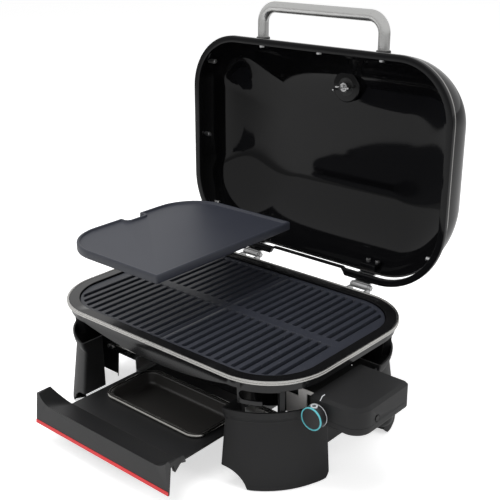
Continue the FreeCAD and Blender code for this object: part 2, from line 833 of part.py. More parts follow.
def front_trough():
    """Space above the drawer front between its ears: flat below, round up to each ear."""
    crest_y = front_face_y + front_lean
    half = front_width / 2
    flat = half - ear_width
    rise = ear_height + trough_margin
    slope = (tray_top - front_crest) / (tray_front_y - crest_y)
    y0 = front_face_y - trough_margin
    z0 = front_crest + slope * (y0 - crest_y)
    high = z0 + rise
    left = [V(-flat, y0, z0), V(-half, y0, z0 + ear_width), V(-half, y0, high)]
    knee = ear_width * (1 - math.sqrt(0.5))
    right_arc = Part.Arc(V(flat, y0, z0), V(half - knee, y0, z0 + knee), V(half, y0, z0 + ear_width))
    left_arc = Part.Arc(left[1], V(-half + knee, y0, z0 + knee), left[0])
    edges = [Part.makeLine(left[0], V(flat, y0, z0)), right_arc.toShape(),
             Part.makeLine(V(half, y0, z0 + ear_width), V(half, y0, high)),
             Part.makeLine(V(half, y0, high), left[2]), Part.makeLine(left[2], left[1]),
             left_arc.toShape()]
    run = tray_front_y - front_face_y + 2 * trough_margin
    return Part.Face(Part.Wire(edges)).extrude(V(0, run, slope * run))


def make_drawer_front():
    """Pressed front: leaning face, crest and sloping deck, with a raised ear at each end."""
    half = front_width / 2
    block = side_prism(front_outline(0.0), -half, half).cut(front_trough())
    trough = front_trough()
    trough.translate(V(0, 0, -front_sheet))
    shell = block.cut(side_prism(front_outline(front_sheet), -half, half).cut(trough))
    end = side_prism(ear_end_outline(), half - ear_end_width, half).common(block)
    edge = tray_width / 2 - back_flange
    flange = box_between(-edge, edge, tray_front_y - front_sheet, tray_front_y,
                         tray_top - back_flange, tray_top - tray_sheet)
    return fused([shell, end, mirrored_x(end), flange])


def make_drawer_stripe():
    """Coloured strip along the foot of the drawer front."""
    lean = ear_lean * stripe_height / (ear_height - front_bottom)
    t = stripe_thickness
    outline = [(front_face_y - t, front_bottom), (front_face_y - t + lean, front_bottom + stripe_height),
               (front_face_y + lean, front_bottom + stripe_height), (front_face_y, front_bottom)]
    return side_prism(outline, -front_width / 2, front_width / 2)


# Control box

def box_solid(inset, z0, z1):
    """Prism on the control box's outline, drawn in by inset."""
    corners = (box_front_corner, box_back_corner, box_inner_back_corner, box_inner_front_corner)
    radii = [r - inset for r in corners]
    wire = cornered_wire(box_left_x + inset, box_right_x - inset, box_front_y + inset,
                         box_back_y - inset, radii, z0)
    return Part.Face(wire).extrude(V(0, 0, z1 - z0))


def make_housing_top():
    """Upper shell of the control box, with its top edge chamfered."""
    outside = box_solid(0.0, box_split, box_top)
    top_edges = [e for e in outside.Edges if e.BoundBox.ZMin > box_top - 0.01]
    outside = outside.makeChamfer(box_edge, top_edges)
    shell = outside.cut(box_solid(box_wall, box_split - 1, box_top - box_wall - box_edge / 2))
    shell = shell.cut(along_y(knob_shaft_radius + 3 * shaft_clearance, knob_x, knob_z,
                              box_front_y - 1, box_front_y + 2 * box_wall))
    shell = shell.cut(along_x(side_recess_radius, box_front_y + side_screw_y, box_split + side_screw_height,
                              box_right_x - side_recess_depth, box_right_x + 1))
    return shell.cut(element_holes())


def element_holes():
    """Two holes for the ends of the heating element."""
    holes = []
    for y in (terminal_front_y, terminal_back_y):
        holes.append(along_x(element_radius + seam_clearance, y, element_z, element_half_length,
                             box_left_x + 2 * box_wall))
    return Part.makeCompound(holes)


def make_housing_base():
    """Lower shell of the control box, with rounded bottom edges."""
    outside = box_solid(0.0, box_bottom, box_split - seam_clearance)
    low_edges = [e for e in outside.Edges if e.BoundBox.ZMax < box_bottom + 0.01]
    outside = outside.makeFillet(box_edge, low_edges)
    shell = outside.cut(box_solid(box_wall, box_bottom + box_wall, box_split + 1))
    return shell.cut(along_y(knob_shaft_radius + 3 * shaft_clearance, knob_x, knob_z,
                             box_front_y - 1, box_front_y + 2 * box_wall))


def make_element_neck():
    """Dark insulating block between the well and the control box, around the element's ends."""
    block = box_between(element_half_length, box_left_x, box_front_y + neck_front_inset,
                        box_back_y - neck_back_inset, element_z - neck_below, element_z + neck_above)
    return block.cut(well_outside(seam_clearance)).cut(element_holes())


def make_thermostat():
    """Thermostat body inside the control box, behind the knob."""
    y0 = box_front_y + box_wall + 4
    body = box_between(knob_x - 12 + 2, knob_x + 16, y0, y0 + 30, box_split - 8, box_split + 14)
    sleeve = along_y(7, knob_x, knob_z, box_front_y + box_wall + 0.5, y0)
    bore = along_y(knob_shaft_radius + shaft_clearance, knob_x, knob_z, box_front_y, y0 + 12)
    return fused([body, sleeve]).cut(bore)


def make_terminal_block():
    """Block that joins the element's ends to the wiring."""
    x0 = box_left_x + 4 * box_wall
    return box_between(x0, x0 + 14, terminal_front_y - 8, terminal_back_y + 8,
                       element_z - 8, element_z + 6)


def make_power_inlet():
    """Round inlet body below the back of the control box; it faces down and takes a plug."""
    x = box_right_x - inlet_inset
    body = upright(inlet_radius, x, inlet_y, box_bottom - inlet_height, box_bottom)
    low = [e for e in body.Edges if e.BoundBox.ZMax < box_bottom - inlet_height + 0.01]
    body = body.makeFillet(inlet_height / 2, low)
    socket = rounded_prism(20, 14, 4, box_bottom - inlet_height, box_bottom - 4, x, inlet_y)
    return body.cut(socket)


def make_inlet_pins():
    """Three contact pins inside the inlet."""
    x = box_right_x - inlet_inset
    pins = []
    for dx, dy in ((-6, -2), (6, -2), (0, 3)):
        pins.append(upright(1.2, x + dx, inlet_y + dy, box_bottom - inlet_height + 8, box_bottom - 4))
    return Part.makeCompound(pins)


def make_index_ring():
    """Small bright ring standing on top of the knob; it shows the set heat."""
    y = knob_back() - knob_depth / 2
    z0 = knob_z + knob_radius - 2.5
    z1 = knob_z + knob_radius + 0.8
    ring = upright(index_ring_radius, knob_x, y, z0, z1)
    ring = ring.cut(upright(index_ring_radius - index_ring_wall, knob_x, y, z0 - 1, z1 + 1))
    return ring.cut(along_y(knob_radius - 0.5, knob_x, knob_z, knob_back() - knob_depth, knob_back()))


def make_housing_mark():
    """Raised mark above the knob, against which its scale is read."""
    x = knob_x + 4
    y0 = box_front_y + 0.5
    outline = [(y0 - 0.6, box_top - box_edge), (y0 + box_edge - 0.5, box_top + 0.6),
               (y0 + box_edge + 6, box_top + 0.6), (y0 + box_edge + 6, box_top),
               (y0 + box_edge - 0.5, box_top), (y0 - 0.5, box_top - box_edge)]
    return side_prism(outline, x - mark_width / 2, x + mark_width / 2)


def make_housing_screws():
    """One screw in the right side of the box and four in its base."""
    seat_x = box_right_x - side_recess_depth
    screws = [along_x(side_screw_radius, box_front_y + side_screw_y, box_split + side_screw_height,
                      seat_x, box_right_x + screw_head)]
    for x in (box_left_x + base_screw_inset, box_right_x - base_screw_inset):
        for y in (box_front_y + 1.6 * base_screw_inset, box_back_y - base_screw_inset):
            screws.append(upright(base_screw_radius, x, y, box_bottom - screw_head, box_bottom))
    return Part.makeCompound(screws)


def knob_back():
    """Where the knob's back face lies, just in front of the box."""
    return box_front_y - knob_gap


def make_knob_body():
    """Knob with a hub, an open back and a flat face."""
    y1 = knob_back()
    y0 = y1 - knob_depth
    core = along_y(knob_radius - 2, knob_x, knob_z, y0 + 0.8, y1)
    collar = along_y(knob_radius - 0.5, knob_x, knob_z, y0 + knob_ring_depth, y1 - knob_skirt_depth)
    hollow = along_y(knob_radius - 5, knob_x, knob_z, y0 + 4, y1)
    hub = along_y(6, knob_x, knob_z, y0 + 1, y1 - 2)
    bore = along_y(knob_shaft_radius, knob_x, knob_z, y0 + 5, y1)
    return fused([core.fuse(collar).cut(hollow), hub]).cut(bore)


def make_knob_ring():
    """Coloured ring around the knob's face."""
    y0 = knob_back() - knob_depth
    ring = along_y(knob_radius, knob_x, knob_z, y0, y0 + knob_ring_depth)
    return ring.cut(along_y(knob_radius - 2, knob_x, knob_z, y0 - 1, y0 + knob_ring_depth + 1))


def make_knob_skirt():
    """Thin bright ring behind the knob."""
    y1 = knob_back()
    skirt = along_y(knob_radius + 0.5, knob_x, knob_z, y1 - knob_skirt_depth, y1)
    return skirt.cut(along_y(knob_radius - 2, knob_x, knob_z, y1 - knob_skirt_depth - 1, y1 + 1))


def make_knob_shaft():
    """Shaft that carries the knob and turns in the thermostat's sleeve."""
    y0 = knob_back() - knob_depth + 5
    return along_y(knob_shaft_radius, knob_x, knob_z, y0, box_front_y + box_wall + 14)


# Hinges

def make_hinge_bracket(x):
    """Fixed half of a hinge: a plate on the back of the apron with two ears around the pin."""
    back = rim_half_width - apron_inset
    low = apron_back_bottom + 2
    plate_top = rim_height - trim_height - 2
    half = hinge_width / 2
    plate = box_between(x - half, x + half, back, back + hinge_plate, low, plate_top)
    ear = [(back, low), (back, plate_top), (rim_half_width + 1, plate_top),
           (rim_half_width + 1, hinge_height), (hinge_y, hinge_height),
           (hinge_y, hinge_height - knuckle_radius), (hinge_y - 9, low)]
    solids = [plate]
    for x0 in (x - half, x + half - ear_thickness):
        solids.append(side_prism(ear, x0, x0 + ear_thickness))
        solids.append(along_x(knuckle_radius, hinge_y, hinge_height, x0, x0 + ear_thickness))
    return fused(solids).cut(along_x(hinge_pin_radius, hinge_y, hinge_height, x - half - 1, x + half + 1))


def knuckle_half():
    """Half length of the lid's knuckle between the bracket's ears."""
    return hinge_width / 2 - ear_thickness - 4 * seam_clearance


def make_hinge_leaf(x):
    """Moving half of a hinge, modelled with the lid shut: knuckle, step and upright plate."""
    half = knuckle_half()
    ring_back = lid_width / 2 + seam_clearance
    t = leaf_thickness
    pad_y = dome_back() + 3
    knuckle = along_x(knuckle_radius, hinge_y, hinge_height, x - half, x + half)
    riser = box_between(x - half, x + half, ring_back + 1.2, ring_back + 1.2 + t, hinge_height, ring_top + t)
    shelf = box_between(x - half, x + half, pad_y, ring_back + 1.2 + t, ring_top + 0.2, ring_top + t)
    plate = box_between(x - half, x + half, pad_y, pad_y + t, ring_top + 0.2, dome_bottom + pad_height)
    leaf = fused([knuckle, riser, shelf, plate])
    return leaf.cut(along_x(hinge_pin_radius + shaft_clearance, hinge_y, hinge_height, x - half - 1,
                            x + half + 1))


def make_hinge_pins():
    """Two pins held in the brackets' ears, with a head at each end."""
    pins = []
    half = hinge_width / 2
    for x in (-hinge_x, hinge_x):
        pin = along_x(hinge_pin_radius, hinge_y, hinge_height, x - half - 2, x + half + 2)
        heads = [along_x(hinge_pin_radius + 1.5, hinge_y, hinge_height, x - half - 2, x - half),
                 along_x(hinge_pin_radius + 1.5, hinge_y, hinge_height, x + half, x + half + 2)]
        pins.append(fused([pin] + heads))
    return Part.makeCompound(pins)


def make_bracket_screws():
    """Screws that hold the brackets to the apron."""
    y = rim_half_width - apron_inset + hinge_plate
    z = apron_back_bottom + 14
    screws = []
    for x in (-hinge_x, hinge_x):
        for dx in (-9, 9):
            screws.append(along_y(3.0, x + dx, z, y, y + 2))
    return Part.makeCompound(screws)


def make_hinge_bolts():
    """Bolts through the lid's back wall, with a nut inside."""
    bolts = []
    y = dome_back() + 3
    z = dome_bottom + pad_height * 0.6
    inner = y - pad_reach
    for x in (-hinge_x, hinge_x):
        for dx in (-10, 10):
            bolts.append(hexagon(8, 3, V(x + dx, y + leaf_thickness, z), V(0, 1, 0)))
            bolts.append(hexagon(8, 4, V(x + dx, inner, z), V(0, -1, 0)))
    return Part.makeCompound(bolts)


# Lid, modelled shut and then opened

def dome_front():
    return -lid_width / 2 + lid_trim_inset


def dome_back():
    return lid_width / 2 - lid_back_step


def make_lid_ring():
    """Flat ring around the lid's mouth; its back edge is cut in between the hinges."""
    half, deep = lid_length / 2, lid_width / 2
    outer = Part.Face(rounded_wire(-half, half, -deep, deep, lid_front_corner, lid_back_corner, lid_bottom))
    outer = outer.extrude(V(0, 0, lid_ring_height))
    top_edges = [e for e in outer.Edges if e.BoundBox.ZMin > ring_top - 0.01]
    outer = outer.makeFillet(2.5, top_edges)
    t = lid_ring_face
    inner = Part.Face(rounded_wire(-half + t, half - t, -deep + t, deep - t, lid_front_corner - t,
                                   lid_back_corner - t, lid_bottom)).extrude(V(0, 0, lid_ring_height))
    notch = rounded_prism(lid_notch_width, 2 * (lid_back_step + 1), 6, lid_bottom, ring_top, 0, deep)
    return outer.cut(inner).cut(notch)


def dome_wire(inset_x, inset_y, height, shrink):
    """Plan outline of the dome at a height above its foot, pulled in by the two insets."""
    half = lid_length / 2 - lid_trim_inset - inset_x
    front = dome_front() + inset_y
    back = dome_back() - inset_y
    z = dome_bottom + height
    return rounded_wire(-half, half, front, back, lid_front_corner - shrink, lid_back_corner - shrink, z)


def dome_solid(inset):
    """Loft through the dome's outlines, smaller by inset, closed by a flat top."""
    levels = [(0.0, 0.0, 0.0, 2.0), (0.035, 0.075, 0.24, 6.0), (0.11, 0.19, 0.48, 12.0),
              (0.21, 0.34, 0.68, 22.0), (0.39, 0.55, 0.84, 34.0), (0.74, 0.86, 0.95, 52.0),
              (1.25, 1.20, 1.0, 66.0)]
    wires = []
    for share_x, share_y, share_z, shrink in levels:
        rise = dome_rise * share_z
        drop = inset * share_z
        wires.append(dome_wire(inset + dome_rise * share_x, inset + dome_rise * share_y,
                               rise - drop, shrink + inset))
    return Part.makeLoft(wires, True, False)


def gauge_pad_top():
    """Height of the flat seat of the thermometer on the dome."""
    return dome_bottom + dome_rise * 0.96


def make_lid_dome():
    """Domed shell with a seat for the thermometer and a pad for each hinge."""
    hollow = dome_solid(dome_wall)
    top = gauge_pad_top()
    outer = dome_solid(0.0)
    seat = upright(gauge_pad_radius, gauge_x, gauge_y, top - gauge_pad_depth - dome_wall, top)
    pads = []
    for x in (-hinge_x, hinge_x):
        y = dome_back() + 3
        pads.append(box_between(x - knuckle_half(), x + knuckle_half(), y - pad_reach, y,
                                dome_bottom, dome_bottom + pad_height))
    shell = fused([outer.cut(hollow), seat] + pads)
    shell = shell.cut(upright(gauge_radius + 2, gauge_x, gauge_y, top, top + gauge_stem_length))
    seat_bottom = top - gauge_pad_depth - 3 * dome_wall
    shell = shell.cut(upright(gauge_neck_radius + seam_clearance, gauge_x, gauge_y, seat_bottom, top + 1))
    return shell


def make_lid_trim():
    """Bright strip between the ring and the dome."""
    outer = Part.Face(dome_wire(-0.6, -0.6, -lid_trim_height, 2.0)).extrude(V(0, 0, lid_trim_height))
    inner = Part.Face(dome_wire(3 * dome_wall, 3 * dome_wall, -lid_trim_height, 2.0 + 3 * dome_wall))
    inner = inner.extrude(V(0, 0, lid_trim_height))
    notch_y = dome_back()
    band = outer.cut(inner)
    for x in (-hinge_x, hinge_x):
        half = knuckle_half() + seam_clearance
        band = band.cut(box_between(x - half, x + half, notch_y - 0.1, notch_y + 2, ring_top, dome_bottom))
    return band


def handle_wall_y(height):
    """Outer face of the dome's front wall at a height above the lid's mouth."""
    share = (lid_bottom + height - dome_bottom) / dome_rise
    return dome_front() + dome_rise * share * 0.31


def make_lid_handle():
    """Bent tube with both ends on the lid's front wall."""
    z = lid_bottom + handle_height
    y0 = handle_wall_y(handle_height) - collar_length
    y1 = -lid_width / 2 - handle_reach
    points = [V(-handle_x, y0, z), V(-handle_x, y1, z), V(handle_x, y1, z), V(handle_x, y0, z)]
    outside = rod(points, handle_bend, handle_radius)
    return outside.cut(rod(points, handle_bend, handle_radius - handle_wall))


def make_handle_collars():
    """Heat-insulating collars between the handle and the lid."""
    z = lid_bottom + handle_height
    y0 = handle_wall_y(handle_height) - collar_length
    dome = dome_solid(0.0)
    collars = []
    for x in (-handle_x, handle_x):
        blank = along_y(collar_radius, x, z, y0, y0 + collar_length + 8)
        collars.append(blank.cut(dome))
    return Part.makeCompound(collars)


def make_lid_screws():
    """Domed nuts inside the lid: handle, front middle and three on each side."""
    nuts = []
    z = lid_bottom + handle_height - 3
    for x in (-handle_x, 0.0, handle_x):
        y = handle_wall_y(handle_height - 3)
        nuts.append(hexagon(9, 14, V(x, y, z), V(0, 1, 0)))
    side_places = ((side_nut_x - 18, -0.36 * lid_width), (side_nut_x, 0.0), (side_nut_x - 25, 0.34 * lid_width))
    for sx in (-1, 1):
        for x, y in side_places:
            nuts.append(hexagon(8, side_nut_reach, V(sx * (x + side_nut_reach), y, z), V(-sx, 0, 0)))
    hollow = dome_solid(dome_wall)
    return Part.makeCompound([nut.common(hollow) for nut in nuts])


# Thermometer

def make_gauge_case():
    """Cup of the thermometer with its threaded neck through the lid."""
    z0 = gauge_pad_top()
    z1 = z0 + gauge_case_height
    cup = upright(gauge_radius, gauge_x, gauge_y, z0, z1)
    cup = cup.cut(upright(gauge_radius - 1.5, gauge_x, gauge_y, z0 + 2, z1))
    lip = upright(gauge_radius + 1.5, gauge_x, gauge_y, z1 - 3, z1)
    lip = lip.cut(upright(gauge_radius - 1.5, gauge_x, gauge_y, z1 - 3, z1))
    neck_end = z0 - gauge_pad_depth - dome_wall - 14
    neck = upright(gauge_neck_radius, gauge_x, gauge_y, neck_end, z0)
    return fused([cup, lip, neck])


def make_gauge_dial():
    z = gauge_pad_top() + 2
    plate = upright(gauge_radius - 1.5 - seam_clearance, gauge_x, gauge_y, z, z + 1)
    return plate.cut(upright(1.0, gauge_x, gauge_y, z - 1, z + 2))


def make_gauge_pointer():
    """Needle on its spindle, which turns over the dial."""
    z = gauge_pad_top() + 2
    spindle = upright(0.95, gauge_x, gauge_y, z + 0.1, z + 5)
    hub = upright(2.5, gauge_x, gauge_y, z + 2.5, z + 4.5)
    needle = box_between(gauge_x - 0.8, gauge_x + 0.8, gauge_y - 5, gauge_y + 19, z + 3, z + 4)
    pointer = fused([spindle, hub, needle])
    pointer.rotate(V(gauge_x, gauge_y, 0), UP, gauge_sweep / 2)
    return pointer


def make_gauge_glass():
    z1 = gauge_pad_top() + gauge_case_height
    return upright(gauge_radius - 1.5 - seam_clearance, gauge_x, gauge_y, z1 - 4, z1 - 2)


def make_gauge_stem():
    """Probe that reaches into the space below the lid."""
    z1 = gauge_pad_top() - gauge_pad_depth - dome_wall - 14
    stem = upright(gauge_stem_radius, gauge_x, gauge_y, z1 - gauge_stem_length + 14, z1)
    return stem


def make_gauge_washer():
    """Insulating washer below the thermometer's seat."""
    z1 = gauge_pad_top() - gauge_pad_depth - dome_wall
    ring = upright(gauge_radius * 0.62, gauge_x, gauge_y, z1 - 3, z1)
    return ring.cut(upright(gauge_neck_radius, gauge_x, gauge_y, z1 - 4, z1 + 1))


def make_wing_nut():
    """Wing nut on the thermometer's neck."""
    z1 = gauge_pad_top() - gauge_pad_depth - dome_wall - 3
    z0 = z1 - 8
    body = upright(gauge_neck_radius + 3, gauge_x, gauge_y, z0, z1)
    wings = [body]
    for side in (-1, 1):
        x0 = gauge_x + side * 6
        x1 = gauge_x + side * 15
        wings.append(box_between(min(x0, x1), max(x0, x1), gauge_y - 1.5, gauge_y + 1.5, z0 - 5, z1 - 2))
    return fused(wings).cut(upright(gauge_neck_radius, gauge_x, gauge_y, z0 - 6, z1 + 1))


def make_all():
    """Every piece by its node's name, in the grill's own frame."""
    leg = make_front_right_leg()
    box_room = box_solid(-box_clearance, box_bottom - box_clearance, box_top)
    pieces = {
        "bowl": make_bowl(),
        "rim_trim": make_rim_trim(),
        "grate_left": make_grate(-1),
        "grate_right": make_grate(1),
        "griddle_plate": make_griddle(),
        "heating_element": make_heating_element(),
        "element_clips": make_element_clips(),
        "leg_front_right": leg.cut(box_room),
        "leg_front_left": mirrored_x(leg),
        "leg_rear_right": mirrored_y(leg),
        "leg_rear_left": mirrored_y(mirrored_x(leg)),
        "foot_pads": make_foot_pads(),
        "bowl_posts": make_bowl_posts(),
        "rail_arms": make_rail_arms(),
        "frame_screws": make_frame_screws(),
        "side_skirt_left": mirrored_x(make_side_skirt()),
        "side_skirt_right": make_side_skirt(),
        "shield_plate": make_shield_plate(),
        "shield_foot": make_shield_foot(),
        "drawer_rail_left": make_drawer_rail(-1),
        "drawer_rail_right": make_drawer_rail(1),
        "drawer_tray": make_drawer_tray(),
        "drawer_front": make_drawer_front(),
        "drawer_stripe": make_drawer_stripe(),
        "drip_pan": make_drip_pan(),
        "control_housing_top": make_housing_top(),
        "control_housing_base": make_housing_base(),
        "element_neck": make_element_neck(),
        "thermostat": make_thermostat(),
        "terminal_block": make_terminal_block(),
        "power_inlet": make_power_inlet(),
        "inlet_pins": make_inlet_pins(),
        "housing_mark": make_housing_mark(),
        "housing_screws": make_housing_screws(),
        "knob_body": make_knob_body(),
        "knob_ring": make_knob_ring(),
        "knob_skirt": make_knob_skirt(),
        "knob_shaft": make_knob_shaft(),
        "knob_index_ring": make_index_ring(),
        "hinge_bracket_left": make_hinge_bracket(-hinge_x),
        "hinge_bracket_right": make_hinge_bracket(hinge_x),
        "hinge_pins": make_hinge_pins(),
        "hinge_bracket_screws": make_bracket_screws(),
    }
    shut = {
        "hinge_leaf_left": make_hinge_leaf(-hinge_x),
        "hinge_leaf_right": make_hinge_leaf(hinge_x),
        "hinge_leaf_bolts": make_hinge_bolts(),
        "lid_ring": make_lid_ring(),
        "lid_trim": make_lid_trim(),
        "lid_dome": make_lid_dome(),
        "lid_handle": make_lid_handle(),
        "handle_collars": make_handle_collars(),
        "lid_nuts": make_lid_screws(),
        "thermometer_case": make_gauge_case(),
        "thermometer_dial": make_gauge_dial(),
        "thermometer_pointer": make_gauge_pointer(),
        "thermometer_glass": make_gauge_glass(),
        "thermometer_stem": make_gauge_stem(),
        "thermometer_washer": make_gauge_washer(),
        "thermometer_wing_nut": make_wing_nut(),
    }
    for name, shape in shut.items():
        pieces[name] = opened(shape)
    return pieces


def under_the_middle(pieces):
    """Vector that brings the point under the middle of all pieces to the origin."""
    box = Part.makeCompound(list(pieces.values())).optimalBoundingBox(False, False)
    return V(-(box.XMin + box.XMax) / 2, -(box.YMin + box.YMax) / 2, -box.ZMin)


def main():
    os.makedirs("parts", exist_ok=True)
    pieces = make_all()
    shift = under_the_middle(pieces)
    for name, shape in pieces.items():
        shape.translate(shift)
        shape.exportStep("parts/" + name + ".step")
        solids = shape.Solids
        print(name, "solids", len(solids), "volume", round(shape.Volume / 1000, 2), "cm3",
              "valid", shape.isValid(), "least", round(min(s.Volume for s in solids), 2))
    print("origin shift", shift, "hinge axis", hinge_axis + shift)


main()
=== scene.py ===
import json
import math

import bmesh
import bpy
import numpy as np
from mathutils import Matrix, Vector


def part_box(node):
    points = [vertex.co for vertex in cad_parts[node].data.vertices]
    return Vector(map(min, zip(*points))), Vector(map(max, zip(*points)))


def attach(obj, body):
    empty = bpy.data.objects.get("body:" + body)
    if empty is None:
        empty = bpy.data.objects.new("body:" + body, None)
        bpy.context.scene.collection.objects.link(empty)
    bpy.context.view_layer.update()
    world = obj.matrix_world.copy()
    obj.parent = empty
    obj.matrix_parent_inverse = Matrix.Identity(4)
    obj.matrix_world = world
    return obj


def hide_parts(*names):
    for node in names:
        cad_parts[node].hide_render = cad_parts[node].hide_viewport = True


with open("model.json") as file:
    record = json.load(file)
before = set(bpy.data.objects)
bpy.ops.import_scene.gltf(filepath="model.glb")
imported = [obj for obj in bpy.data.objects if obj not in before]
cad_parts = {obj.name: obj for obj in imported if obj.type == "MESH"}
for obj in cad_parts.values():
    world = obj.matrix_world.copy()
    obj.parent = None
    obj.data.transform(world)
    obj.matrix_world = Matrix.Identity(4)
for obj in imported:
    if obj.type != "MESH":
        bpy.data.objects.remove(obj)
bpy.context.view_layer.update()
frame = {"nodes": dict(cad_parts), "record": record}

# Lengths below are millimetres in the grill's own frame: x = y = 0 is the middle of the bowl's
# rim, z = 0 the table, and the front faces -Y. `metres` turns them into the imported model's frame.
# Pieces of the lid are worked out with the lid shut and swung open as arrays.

NODES = frame["nodes"]
RECORD = frame["record"]


def middle_of(node):
    low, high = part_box(node)
    return (np.array(low) + np.array(high)) / 2


rim_middle = middle_of("rim_trim") * (1, 1, 0)
lid_joint = next(j for j in RECORD["behaviour"]["joints"] if j["name"] == "lid_hinge")
lid_pin = np.array(lid_joint["pos_m"])
lid_swing = math.radians(lid_joint["range_deg"][1])

RIM_TOP = 188.0
LID_FOOT = 188.5
RING_TOP = 198.5
DOME_FOOT = 202.5
DOME_RISE = 108.0
HINGE_X = 130.0
GAUGE_X, GAUGE_Y = 8, -119
LEG_X, LEG_Y = 140, -66


def metres(points):
    """Points in millimetres in the grill's own frame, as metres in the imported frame."""
    return np.asarray(points, float) / 1000 + rim_middle


def swung_open(points):
    """Points of the shut lid, turned back about the hinge pins to where the open lid is."""
    c, s = math.cos(-lid_swing), math.sin(-lid_swing)
    x, y, z = np.moveaxis(metres(points) - lid_pin, -1, 0)
    return np.stack([x, y * c - z * s, y * s + z * c], -1) + lid_pin


# Surfaces

def surface(name, grid, place=metres, along=False, sharp=32.0, wall=False):
    """Mesh on a grid of points (rows, columns, 3): every row is a closed loop.

    With `along` the rows close on themselves too, like a ring's section. Otherwise one face closes
    the first row and one the last, or with `wall` a strip of faces across the wall does, from each
    point to the one as far from the row's other end. The faces are turned outwards by the sign of
    the volume, the sum of p0 . (p1 x p2) / 6 over the triangles.
    """
    grid = np.asarray(place(grid), float)
    rows, columns = grid.shape[:2]
    index = np.arange(rows * columns).reshape(rows, columns)
    if along:
        index = np.concatenate([index, index[:1]])
    a, b = index[:-1], index[1:]
    quads = np.stack([a, np.roll(a, -1, 1), np.roll(b, -1, 1), b], -1).reshape(-1, 4)
    points = grid.reshape(-1, 3)
    spun = points - points.mean(0)
    p = spun[quads]
    turn = np.cross(p[:, 1], p[:, 2]) + np.cross(p[:, 2], p[:, 3])
    volume = np.einsum("ij,ij->", p[:, 0], turn)
    if not along:
        for loop, sign in ((index[0], -1), (index[-1], 1)):
            fan = spun[loop]
            center = fan.mean(0)
            volume += sign * np.einsum("ij,ij->", np.cross(fan, np.roll(fan, -1, 0)), center[None])
    if volume < 0:
        quads = quads[:, ::-1]
    faces = quads.tolist()
    if not along:
        ends = [index[0][::-1].tolist(), index[-1].tolist()]
        if wall:
            k = np.arange(columns // 2 - 1)
            across = np.stack([k, k + 1, columns - 2 - k, columns - 1 - k], -1)
            ends = index[0][across[:, ::-1]].tolist() + index[-1][across].tolist()
        faces += [end[::-1] if volume < 0 else end for end in ends]
    mesh = bpy.data.meshes.new(name)
    mesh.from_pydata(points.tolist(), [], faces)
    mesh.validate()
    smooth(mesh, sharp)
    return placed(name, mesh)


def placed(name, data):
    """A new object in the scene."""
    piece = bpy.data.objects.new(name, data)
    bpy.context.scene.collection.objects.link(piece)
    return piece


def smooth(mesh, sharp):
    mesh.polygons.foreach_set("use_smooth", np.ones(len(mesh.polygons), bool))
    mesh.set_sharp_from_angle(angle=math.radians(sharp))


def rounded(points, radii, steps=6, closed=True):
    """Polyline whose corners are circle arcs: each arc's middle lies on the corner's bisector at
    r / sin(half angle), and it is swept by turning from the first tangent point to the second."""
    points = np.asarray(points, float)
    radii = np.broadcast_to(radii, len(points))
    turn = np.linspace(0, 1, steps)[:, None]
    out = []
    for i, corner in enumerate(points):
        if not closed and i in (0, len(points) - 1):
            out.append(corner[None])
            continue
        back = points[i - 1] - corner
        ahead = points[(i + 1) % len(points)] - corner
        back, ahead = back / np.linalg.norm(back), ahead / np.linalg.norm(ahead)
        half = math.acos(np.clip(back @ ahead, -1, 1)) / 2
        if radii[i] < 1e-6 or half > 1.5707:
            out.append(np.repeat(corner[None], steps, 0))
            continue
        center = corner + (back + ahead) / np.linalg.norm(back + ahead) * radii[i] / math.sin(half)
        start = corner + back * radii[i] / math.tan(half) - center
        end = corner + ahead * radii[i] / math.tan(half) - center
        sweep = math.acos(np.clip(start @ end / (start @ start), -1, 1))
        arc = (np.sin((1 - turn) * sweep) * start + np.sin(turn * sweep) * end) / math.sin(sweep)
        out.append(center + arc)
    return np.concatenate(out)


def outward(loop):
    """Unit normals of a counter-clockwise plan loop, from the chord between each point's
    neighbours, turned a quarter to the right."""
    chord = np.roll(loop, -1, 0) - np.roll(loop, 1, 0)
    chord /= np.maximum(np.linalg.norm(chord, axis=1), 1e-9)[:, None]
    return np.stack([chord[:, 1], -chord[:, 0]], -1)


def level_loop(loop, height):
    """A plan loop at one height."""
    return np.concatenate([loop, np.full((len(loop), 1), height)], 1)


def corners(half, front, back):
    return [(-half, front), (half, front), (half, back), (-half, back)]


def plan(half, front, back, front_radius, back_radius, steps=26, spacing=None):
    """Rounded rectangle in plan, counter-clockwise from its front left corner; `spacing` fills
    the straight runs with points about that far apart."""
    radii = (front_radius, front_radius, back_radius, back_radius)
    loop = rounded(corners(half, front, back), radii, steps)
    if spacing is None:
        return loop
    gaps = np.roll(loop, -1, 0) - loop
    counts = np.maximum(np.round(np.linalg.norm(gaps, axis=1) / spacing).astype(int), 1)
    share = np.concatenate([np.arange(c) / c for c in counts])
    return np.repeat(loop, counts, 0) + share[:, None] * np.repeat(gaps, counts, 0)


def carried(loop, section):
    """Grid of a section's (outward offset, height) points carried round a plan loop."""
    section = np.asarray(section, float)
    flat = loop[None] + outward(loop)[None] * section[:, 0][:, None, None]
    height = np.broadcast_to(section[:, 1][:, None, None], (len(section), len(loop), 1))
    return np.concatenate([flat, height], -1)


def swept_ring(name, loop, section, place=metres, sharp=32.0):
    """A closed section carried round a plan loop."""
    return surface(name, carried(loop, section), place, along=True, sharp=sharp)


def plate(name, loop, section, place=metres, sharp=32.0):
    """A plate on a plan loop: its section runs from the middle of the underside round the edge to
    the middle of the top, where one face closes each end."""
    return surface(name, carried(loop, section), place, sharp=sharp)


